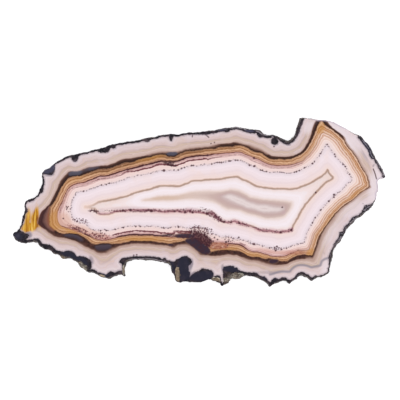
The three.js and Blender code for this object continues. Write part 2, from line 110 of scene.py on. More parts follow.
DARK_OUTSIDE = [
    (-64.7, -9.5), (-64.6, -8), (-64, -6.4), (-63.6, -5), (-62, -3.4), (-60.4, -1.8), (-59.4, 0.2),
    (-58.4, 2), (-57.7, 3.4), (-57, 4.8), (-56.6, 6.2), (-55.6, 8), (-54.6, 9.4), (-53.4, 10.6),
    (-52, 11.6), (-50, 11.4), (-48.1, 11.8), (-46.3, 12.6), (-44.4, 13.2), (-42.5, 13.4), (-39.5, 13.8),
    (-37.3, 13.95), (-35.4, 14.5), (-34.1, 14.9), (-32.3, 15.8), (-30.8, 16.4), (-28.5, 16.7),
    (-25.7, 17.1), (-22, 17.9), (-19, 18.8), (-17, 19.2), (-14, 19.4), (-10, 19.5), (-8, 19.8), (-6, 20.4),
    (-3.6, 20.8), (-2, 21.1), (2, 21.4), (4, 21.6), (6, 22.2), (9, 22.6), (12, 22.8), (14, 23.3),
    (16, 22.9), (18, 22.4), (20, 22), (22, 21.2), (24, 20.5), (26, 19.3), (28.6, 17.8), (30, 17.5),
    (35, 17.4), (37, 17.7), (38.8, 18.5), (40.4, 19.4), (41.6, 20.6), (42.4, 22), (43.2, 23.2),
    (43.8, 24.8), (44.4, 26.6), (44.8, 28.2), (45.3, 29.8), (46, 31.2), (46.6, 32), (48, 32.3),
    (49.8, 32.2), (50.6, 31.8), (51.6, 30.4), (52.8, 29.2), (54, 28.2), (56, 26.8), (58, 25), (58.6, 23.4),
    (59.4, 22.2), (60.4, 20.8), (61.6, 19.4), (62.8, 17.8), (63.6, 16.4), (64.2, 15), (65, 13.6),
    (66, 12.2), (66.6, 10.8), (67.2, 9.6), (67.6, 8.4), (68, 7.2), (68.1, 6), (68.5, 5.1), (68, 4.7),
    (66.6, 3.9), (65.4, 3.2), (64.4, 2.4), (63.2, 1.2), (62, 0.2), (60.8, -0.8), (58.4, -2.4), (57, -3.6),
    (56, -4.4), (54.8, -5.8), (53.6, -7.6), (52.2, -9.2), (51.2, -10.3), (50.2, -12), (49.2, -13.6),
    (48.4, -15.2), (47.8, -16.8), (47.4, -18.4), (46.6, -20.4), (46, -22), (45.1, -23.8), (44, -23.4),
    (40.8, -23.4), (39.2, -23.6), (37.8, -24), (36.4, -24.4), (35.2, -25.1), (33.6, -25.5), (31.6, -25.8),
    (29.8, -26.1), (28, -25.8), (26, -25.2), (24, -24.6), (22, -24.1), (20, -24), (18, -23.4),
    (16.4, -22.6), (15, -22), (13, -21.8), (10.6, -21.6), (8.8, -22), (7.2, -22.2), (5.6, -22.3),
    (2, -21.9), (0.2, -21.8), (-0.6, -21), (-1.6, -20), (-2.8, -19.2), (-4, -18.4), (-5.4, -17.9),
    (-7, -17.8), (-9.2, -18.2), (-10.4, -19), (-11.6, -18.8), (-13, -18.2), (-15, -18), (-18, -17.8),
    (-20, -17.6), (-24, -17.4), (-27, -17.5), (-29, -17.8), (-31, -18.1), (-32.8, -18.6), (-34, -19.4),
    (-35.6, -20.2), (-36.8, -20.8), (-38, -21), (-40, -21.2), (-41.2, -20.8), (-42.2, -20), (-43.8, -19.4),
    (-45.4, -18.6), (-47, -17.8), (-48.4, -17), (-50, -16), (-53, -15.2), (-55, -15), (-57, -14.6),
    (-59, -13.8), (-60.8, -12.6), (-62.4, -11.2), (-64, -10.2),
]
DARK_INSIDE = [
    (-60, -10.2), (-60.3, -9), (-60.4, -7), (-60.4, -5.5), (-60.2, -4), (-60, -2.9), (-59, -1.6),
    (-58.2, -0.2), (-57.3, 1.4), (-56.5, 3), (-55.8, 4.4), (-54.8, 6), (-53.8, 7.4), (-52.6, 8.8),
    (-51, 9.4), (-48.1, 9.5), (-46.5, 10.2), (-45.1, 10.8), (-43.8, 11.2), (-41.8, 11.9), (-39.9, 12.5),
    (-36.9, 12.6), (-35.1, 13.1), (-33.2, 13.8), (-31.3, 14.6), (-29.8, 15.1), (-28, 15.1), (-26.3, 15.4),
    (-24.8, 16.1), (-22, 16.8), (-20, 17.1), (-18.4, 17.7), (-17, 18.1), (-14, 18.1), (-13.2, 17.6),
    (-12, 17.4), (-10.4, 17.4), (-9.4, 17.8), (-8, 18.6), (-6.4, 19.2), (-5, 19.7), (-3, 19.7), (-1, 20),
    (1, 20.2), (2, 20.5), (6, 20.6), (6.4, 20.9), (8.4, 21.3), (12.8, 21.4), (14, 21.9), (16.6, 21.8),
    (18, 21.4), (19.2, 20.8), (20.6, 19.9), (22, 19.3), (24.6, 18.8), (26, 17.7), (28, 16.6), (30, 16.4),
    (35.8, 16.4), (37.2, 16.8), (39, 17.7), (40.8, 18.6), (42.4, 20), (43.4, 21.4), (44.4, 23.2),
    (45, 24.8), (45.6, 26.2), (46.2, 27.6), (46.8, 29.2), (47.4, 30.6), (48.1, 31.5), (49, 31.5),
    (49.8, 30.4), (50.8, 29.6), (52, 28.8), (53.2, 28), (54.4, 27), (56, 25.8), (56.8, 25), (57.8, 23.8),
    (58.4, 22.2), (59.6, 20.8), (60.8, 19.2), (62, 17.6), (63, 16), (63.6, 14.6), (64.4, 13.2),
    (65.4, 11.6), (66.4, 10), (67, 8.6), (67.6, 7), (67.7, 5.8), (67.4, 5), (66, 4.1), (64.6, 3.2),
    (63.4, 2.4), (62.4, 1.4), (61.2, 0.3), (59.6, -0.9), (58, -2), (56.4, -3.2), (55, -4.6), (53.8, -5.8),
    (52.4, -7.4), (51, -9.4), (50, -10.8), (48.8, -12.6), (48, -14), (47.2, -15.8), (46.6, -17.4),
    (46.2, -19), (45.6, -20.4), (45.1, -21.8), (44.8, -22.2), (43.2, -22), (41.6, -21.8), (40, -22),
    (38.6, -22.4), (37.4, -23), (36, -23.8), (34.8, -24.6), (33.2, -24.6), (31.4, -24.4), (30.6, -24),
    (29, -23.6), (27.4, -23.4), (26, -23.8), (24.4, -23.2), (22.8, -22.7), (20.8, -22.8), (19.6, -22.4),
    (18, -21.6), (17, -21), (15.6, -20.5), (13, -20.2), (10, -20), (8, -20.2), (6, -20.5), (4, -20.8),
    (3.2, -19), (3, -17), (1.2, -16.6), (0, -16), (-3.2, -15.9), (-5.4, -16.2), (-7.4, -16.7), (-9.4, -17),
    (-10.4, -17.4), (-13, -17.4), (-15, -17.1), (-17, -16.9), (-19, -16.5), (-22, -16.4), (-25, -16.5),
    (-27.4, -16.4), (-28.4, -16.8), (-30, -17), (-32, -17.4), (-35.2, -17.6), (-36, -17.4), (-38, -17.3),
    (-40, -17.5), (-41.2, -17.8), (-42.4, -17.8), (-43.8, -17.2), (-45.2, -16), (-46.4, -15),
    (-47.6, -14.2), (-48.8, -13.6), (-51, -13.3), (-53, -13.4), (-55, -13.5), (-56.8, -12.8),
    (-58.6, -11.6),
]
OCHRE_INSIDE = [
    (-56.4, -9.2), (-57, -7.4), (-57, -5), (-56.4, -3.6), (-55.8, -2.4), (-55, -0.8), (-54.5, 0.8),
    (-53.4, 3.4), (-52.8, 4.4), (-51.8, 5.4), (-50.2, 6.2), (-48, 6.8), (-46.4, 6.9), (-45, 7.6),
    (-43.2, 8.3), (-41.6, 8.9), (-40, 9.5), (-38, 9.6), (-35.6, 10.1), (-33.6, 10.7), (-32, 11.3),
    (-30.4, 11.8), (-29, 12.2), (-27.2, 12.6), (-25, 13.1), (-22.8, 13.8), (-20.6, 14.3), (-19, 14.7),
    (-17.3, 15.2), (-15.6, 15.5), (-10, 15.5), (-8.4, 15.8), (-7, 16.3), (-5.6, 16.9), (-4, 17.2),
    (-2, 17.5), (0, 17.8), (3, 17.9), (5, 18.2), (7, 18.4), (8.6, 18.6), (12, 18.9), (14.4, 19.2),
    (16.4, 19), (18, 18.4), (20, 17.6), (21.6, 16.8), (23.6, 16.2), (25.6, 15.1), (27.6, 14.3), (29, 13.9),
    (32.4, 13.8), (35.2, 13.9), (37, 14.2), (39, 14.9), (41, 15.6), (42.2, 16.7), (44, 18.4), (45.2, 20),
    (46.2, 21.4), (47, 22.8), (47.6, 24.2), (48.2, 25.4), (48.6, 26.4), (49.2, 26.7), (50.4, 26.4),
    (51.8, 25.6), (53, 24.8), (54.2, 23.8), (55.2, 22.6), (56, 21.4), (56.8, 20), (58, 18.6), (59.2, 17.2),
    (60, 15.8), (60.8, 14.4), (61.6, 13), (62.6, 11.4), (63.6, 10), (64.2, 8.6), (64.6, 7), (64.6, 6.2),
    (63.2, 5.4), (61.6, 4.4), (60.8, 3.6), (60.2, 2.6), (59.2, 1.6), (57.6, 0.6), (56, -0.5), (54.6, -1.6),
    (53.4, -3), (52.2, -4.2), (50.6, -6), (49.6, -7.6), (48.6, -9.6), (47.6, -11), (46.6, -12.2),
    (45.6, -13.8), (44.8, -16), (44, -18.4), (43.6, -19.4), (43, -20), (40, -20), (38.8, -20.2),
    (37.6, -20.8), (36, -21.2), (35, -22), (34, -22.4), (32, -22.6), (30, -22.6), (28, -22.4), (27.4, -22),
    (26, -21.6), (24.6, -21.2), (23, -20.7), (21, -20.6), (19.4, -20), (18, -19.2), (17.2, -18.6),
    (16, -18), (14, -17.6), (11, -17.4), (8, -17), (5, -16.8), (3.2, -16.5), (0, -15.6), (-3.2, -15.2),
    (-10, -14.8), (-11.6, -14.8), (-13, -14.6), (-15, -14.5), (-16, -14.3), (-18, -14.2), (-19.2, -13.9),
    (-24, -13.9), (-28, -13.9), (-30, -14.2), (-32, -14.6), (-33.4, -15), (-34.6, -15.3), (-39.4, -16.1),
    (-44, -14.5), (-46.2, -13.4), (-48.5, -12.6), (-49.4, -11.7), (-51, -11.7), (-52.6, -11.3),
    (-54, -10.9), (-55.4, -10.3),
]
SPECKLED = [
    (-51.6, -3), (-51.4, -1.4), (-50.8, 0.6), (-50, 2), (-49, 3.2), (-46.6, 3.5), (-44.8, 4), (-42, 5),
    (-40.4, 5.8), (-37.5, 6.2), (-36.2, 6.7), (-34, 7.1), (-32.4, 7.6), (-30.6, 8), (-29, 8.8), (-26, 9.4),
    (-25.4, 9.8), (-20, 10.7), (-18, 11.2), (-16, 11.8), (-14.4, 11.8), (-11, 11.9), (-8.7, 12),
    (-7.4, 12.6), (-6.2, 13), (-4.8, 13.4), (-3.4, 13.8), (-1, 13.6), (0.6, 14), (1.8, 14.3), (3.2, 14.2),
    (4.7, 14.4), (6.9, 15), (8.6, 15), (11.5, 15.6), (14.7, 16), (16.2, 15.8), (17.6, 15.3), (19, 14.6),
    (19.8, 13.9), (21.6, 13.5), (24.2, 12), (26.6, 11.4), (28.4, 11.1), (33, 11), (35.6, 10.8),
    (37.8, 11.1), (39.8, 11.8), (41.8, 12.9), (45, 14.6), (45.8, 15.4), (47, 17.1), (48.2, 18.6),
    (49.3, 20.1), (49.9, 21.6), (50.9, 22.2), (52.2, 20.4), (53.8, 18.3), (55.2, 16.4), (56.6, 15.1),
    (58.1, 13.4), (58.9, 11.2), (59.8, 10.3), (60.7, 8.4), (60, 7.2), (58.6, 6.2), (56.8, 3.8), (55, 2.7),
    (53.6, 1.4), (51.5, -0.5), (49.8, -2.2), (48.3, -4), (47.6, -5.4), (46.1, -7.1), (45, -9.1),
    (44.2, -10.6), (43.4, -12), (42.8, -13), (42.5, -14), (42.2, -15.4), (41.9, -16.6), (40.8, -17.2),
    (38.6, -17.8), (36.8, -18.2), (35.4, -18.9), (33.4, -19.4), (31, -20.2), (28.8, -19.4), (25.4, -18.5),
    (23, -17.9), (20.4, -17.4), (19.6, -16.6), (18, -16.2), (16, -15.8), (13, -15.4), (11.6, -14.6),
    (8.8, -14.9), (7.4, -14.4), (6, -13.8), (3.9, -13.4), (3.2, -12.6), (1.4, -11.2), (-1, -10.9),
    (-4, -11.3), (-5.8, -11.3), (-7.4, -10.7), (-10, -10.6), (-12, -11), (-13.6, -11.3), (-16.4, -10.8),
    (-19.4, -10.4), (-22.6, -10.6), (-24.9, -10.2), (-27.1, -10.6), (-29.1, -10.6), (-32.2, -11.3),
    (-35.5, -12.2), (-38.7, -11.9), (-40.8, -12.2), (-43.6, -11.7), (-45.4, -9.8), (-47.4, -9.2),
    (-50, -8.2), (-51.2, -6.6), (-51.7, -4.8),
]
BROWN = [
    (-46, -2.8), (-44.4, -2.6), (-43, -2.2), (-41.8, -1.6), (-40.6, -0.9), (-39.4, -0.6), (-37.6, -0.3),
    (-35.6, 0), (-34, 0.3), (-32.4, 0.7), (-30.8, 1.1), (-29.2, 1.6), (-27.6, 2.2), (-26, 2.8),
    (-24.4, 3.3), (-22.4, 3.8), (-20.2, 4.25), (-18.4, 4.9), (-17, 5.3), (-15.6, 5.6), (-11, 5.6),
    (-9, 5.5), (-7.6, 5.7), (-6.2, 6.3), (-5, 6.7), (-3.4, 7.4), (-2, 7.7), (0, 7.7), (2, 8), (4, 8.1),
    (6, 8.3), (9, 8.4), (11, 8.9), (13, 9.1), (14.6, 9.3), (15.8, 8.8), (17, 8.2), (18.4, 7.7), (19.8, 7.1),
    (21, 6.3), (22.4, 5.6), (24, 5.2), (26, 4.9), (28, 4.7), (30, 4.4), (32, 4.5), (35, 4.3), (37.2, 4.4),
    (39, 4.7), (40.6, 5.3), (42.4, 6), (44, 6.7), (45.6, 7.6), (47.2, 8.6), (48.6, 9.4), (49.8, 10.4),
    (50.6, 11.4), (51, 12.2), (51.6, 10.8), (52.4, 9.8), (53.2, 8.8), (52, 8), (50.6, 7.2), (49.6, 6.2),
    (48.2, 5), (47.2, 3.8), (46.3, 3), (45.4, 2), (44.4, 0.8), (43.2, -0.6), (42.4, -1.6), (41.4, -3),
    (40.4, -4.6), (39.6, -6.2), (38.8, -7.6), (38, -9), (37.2, -10.4), (36.6, -12), (36, -12.2),
    (34.8, -12.5), (33, -12.5), (32.2, -13), (29.6, -12.5), (28, -12.2), (27.2, -12.4), (26, -12.1),
    (24.6, -12.1), (23.2, -11.8), (22.2, -11.1), (21.2, -10.6), (20, -10.2), (18, -9.8), (15.7, -9.2),
    (13.6, -8.4), (12.4, -8.9), (9.6, -8.8), (8.3, -8.2), (6, -6.4), (4.6, -5.2), (2.8, -5.5), (1, -5.2),
    (-1, -4.8), (-3, -4.9), (-4.8, -4.3), (-6, -4.9), (-8.8, -4.3), (-10.2, -4.5), (-12, -4.5),
    (-13.8, -4.7), (-15.4, -4.6), (-16.8, -4.4), (-18, -4.3), (-19.4, -4.3), (-20.6, -4), (-22.2, -4.1),
    (-26, -4), (-27.8, -4), (-29.4, -4.1), (-30.9, -4.3), (-33.6, -4.6), (-35.4, -5.3), (-37, -5.7),
    (-40, -5.6), (-41.2, -4.6), (-42, -3.6), (-44, -3),
]
TAUPE = [
    (-23, 0), (-20, 0.5), (-17, 1.3), (-14, 1.6), (-11, 1.6), (-8, 1.9), (-5, 2.7), (-2, 3.2), (4, 3.4),
    (8, 3.4), (10, 3.7), (12, 4.1), (14, 3.9), (16, 3.4), (18, 2.4), (20, 1.2), (22, 0.8), (24, 0.4),
    (28, 0), (32, -0.4), (34, -0.4), (35.6, -0.8), (36.6, -1.2), (36.4, -2.8), (35.6, -4), (34.8, -5.4),
    (34, -6.2), (32.8, -6.8), (30, -7.2), (26, -7.2), (22, -6), (20, -5.6), (18, -5), (16, -4.2),
    (13, -3.8), (11, -3.6), (9, -2.6), (7, -1.3), (4, -0.2), (0, 0.4), (-3, 0.6), (-6, 0.5), (-10, 0),
    (-14, 0), (-18, -0.1), (-21, -0.2),
]
LENS = [
    (9.4, 1.6), (10.6, 2), (12, 2.3), (13.6, 1.8), (15.2, 1.2), (16.8, 0.6), (18, 0), (19, -0.6),
    (21, -1.2), (23, -1.8), (26, -1.9), (28.6, -2.6), (32, -3), (33.4, -3.4), (33.2, -4), (31, -4.7),
    (29, -4.8), (26, -4.9), (24, -4.6), (22, -3.8), (20.4, -3.4), (18.8, -3.2), (17.2, -2.4), (15.6, -1.7),
    (14, -1.1), (12.4, -0.4), (11, 0.4), (9.4, 1.2),
]
BANDS = {
    "rind": RIND_INSIDE, "dark_out": DARK_OUTSIDE, "dark_in": DARK_INSIDE, "ochre": OCHRE_INSIDE,
    "speckled": SPECKLED, "brown": BROWN, "taupe": TAUPE, "lens": LENS,
}
SOFT_BANDS = ("dark_out", "taupe", "lens")  # too soft to need a finer mesh

# Lines that have ends, each in one or more pieces
SECOND_MAROON = [
    [
        (-56, -5), (-55.4, -2.6), (-54.2, -0.2), (-53.4, 2), (-52.4, 3.8), (-51, 4.7), (-49, 5.2),
        (-48, 5.5), (-46, 5.9), (-44, 6.7), (-42, 7.6), (-40, 8.3), (-37.6, 8.6), (-35.6, 8.9),
        (-33.6, 9.5), (-31.6, 9.9), (-30.6, 10.7), (-29.4, 11.2), (-28, 11.5), (-26.2, 11.5), (-24.2, 12),
        (-22.2, 12.6), (-20.4, 12.8), (-18.5, 13.5), (-17.4, 14), (-15.4, 14.3), (-13, 14), (-11.6, 13.9),
        (-10, 13.6), (-8.6, 14.1), (-7.4, 14.6), (-6.2, 15), (-5, 15.6), (-3.2, 15.9), (0.2, 16.2),
        (2, 16.6), (3.4, 16.2), (4.8, 16.8), (7, 17.1), (10, 17.6), (13, 17.9), (15.4, 18.2), (17, 17.8),
        (19, 17), (20.4, 16.2), (21.6, 15.4), (24, 14.6), (26, 13.8), (28.6, 12.9), (31, 12.8), (36, 13.1),
        (38.8, 14), (41.2, 14.8),
    ],
    [
        (-10.2, -13.2), (-11.2, -13.6), (-12.8, -13.4), (-14, -13.2), (-15.6, -13.2), (-17, -12.8),
        (-19, -12.7), (-22, -12.5), (-26, -12.3), (-28, -12.6), (-30, -12.9), (-31.2, -13.2),
        (-32.6, -13.5), (-33.8, -13.7), (-34.8, -14.1),
    ],
    [(-3.4, -12.7), (-5, -12.6), (-7, -12.5), (-9, -12.4), (-10.4, -12.4)],
    [(-3.6, -13.3), (-6, -13.3), (-8.6, -13.2)],
    [(18, -18), (16, -17.2)],
]
GREY_LINE = [
    [
        (28, -29.8), (29, -29.6), (31, -28.9), (33, -28.6), (35.7, -28.7), (36.6, -27.8), (37.6, -26.9),
        (39, -26.2), (40.4, -26), (42, -26.1), (43.4, -26.5), (44.6, -26.9), (46, -26.6), (48, -26.2),
        (48.4, -25.4), (48.8, -24.4), (50, -23.6), (51.2, -23.2),
    ],
]
# Lines of painted glints along the rind: light streaks painted into its colour in place of reflections
GLINT_LINES = [
    [(12.6, 28.7), (14.6, 29), (16.6, 28.6), (18.4, 28.1)],
    [(22.2, 27.7), (23.6, 27.2), (24.6, 26.4), (26.4, 25.9), (28.4, 25.6), (29.4, 25.4)],
    [(70.4, 16.2), (71.2, 14.9), (72, 13.6), (72.8, 12.2), (73.4, 10.6)],
    [(-14, -24.6), (-16.4, -24.1), (-19.4, -23.6), (-23, -23.5), (-26.4, -23.6), (-28.4, -23.9)],
    [(57, -14.6), (56, -15.6), (55.4, -16.6), (54.6, -17.4)],
    [(62.8, -6.9), (61.6, -7.9), (60.4, -9)],
]
CRACKS = [
    [(1.4, 26.8), (2.4, 26), (3.6, 25)],
    [(-3, 25.9), (-3.1, 25.2)],
    [(-43.4, -4.2), (-42.2, -4.3), (-41.3, -5.3)],
    [(69.3, 12.4), (70, 10.6), (70.6, 8.4)],
]
LINES = {"second": SECOND_MAROON, "grey": GREY_LINE, "glint_lines": GLINT_LINES, "crack": CRACKS}

# Dark specks: x, y and how far out each fades away, in mm
SPECKS = [
    (-46.6, 3.5, 0.5), (-39.4, 6, 0.5), (-37.5, 6.2, 0.5), (-36.2, 6.7, 0.5), (-14.4, 11.8, 0.8),
    (-8.7, 12, 0.5), (-7.4, 12.6, 0.5), (-6.2, 13, 0.5), (-3.4, 13.8, 0.5), (-2.6, 13.8, 0.5),
    (4.7, 14.4, 0.5), (6.9, 15, 0.5), (7.8, 15, 0.5), (8.6, 15, 0.5), (11.5, 15.6, 0.5), (12.1, 15.6, 0.5),
    (14.2, 15.9, 0.5), (15.1, 15.9, 0.5), (19.8, 13.9, 0.6), (21.6, 13.5, 0.6), (22, 13.8, 0.4),
    (24.2, 12, 0.5), (25, 11.9, 0.5), (26.6, 11.4, 0.5), (37.8, 11.1, 0.5), (38.6, 11.4, 0.5),
    (39.8, 11.8, 0.5), (41.8, 12.9, 0.5), (45, 14.6, 0.6), (45.8, 15.4, 0.4), (48.2, 18.6, 0.5),
    (50.9, 22.2, 0.5), (53.8, 18.3, 0.5), (54.1, 17.4, 0.5), (57.2, 14.2, 0.5), (58.1, 13.4, 0.5),
    (59.8, 10.3, 0.5), (53.6, 2.1, 0.7), (53.6, 1.1, 0.5), (51.5, -0.5, 0.6), (48.3, -4, 0.5),
    (46.1, -7.1, 0.5), (45, -9.1, 0.5), (34.6, -19.3, 0.5), (32.6, -19.8, 0.5), (30.2, -20.2, 0.6),
    (30.8, -18.6, 0.6), (29.8, -19, 0.5), (27.8, -19.2, 0.5), (21.6, -17.8, 0.5), (15.5, -15, 0.6),
    (10.4, -16.8, 0.7), (11.4, -16.6, 0.5), (11, -18.2, 0.4), (5.8, -15, 0.5), (7, -15.8, 0.5),
    (4.6, -11.8, 0.5), (-1, -10.9, 0.5), (-2.8, -11, 0.5), (-8.6, -10.8, 0.6), (-14.6, -11.1, 0.5),
    (-23.9, -10.6, 0.5), (-25.7, -10.6, 0.5), (-30.6, -11, 0.5), (-34, -11.7, 0.5), (-37.5, -12.2, 0.5),
    (-39.8, -12.3, 0.5), (-45.6, -8, 0.4), (-46.8, -7.6, 0.4), (-49.2, -8.6, 0.4), (-54.7, -7.4, 0.5),
    (-53.2, -3.2, 0.5), (46.3, 3, 0.6), (32.2, -13, 0.6), (36.5, -12, 0.8), (15.7, -9.2, 0.6),
    (12.4, -8.9, 0.6), (9.6, -8.8, 0.7), (8.3, -8.2, 0.7), (2.8, -5.5, 0.8), (-3, -4.9, 0.7),
    (-6, -4.9, 0.7), (-10.2, -4.5, 0.7), (-19.4, -4.3, 0.9), (-20.6, -4, 0.7), (-27.8, -4, 0.8),
    (-30.9, -4.3, 0.7), (-26.5, -22.1, 0.5), (-25.3, -21.9, 0.5), (4.4, 22.6, 0.4), (5.8, 23, 0.4),
    (32.9, -2.9, 0.5), (29.6, 21.4, 0.5), (-29, 12.2, 0.7), (3, 17.9, 0.7), (21.6, 16.8, 0.7),
]

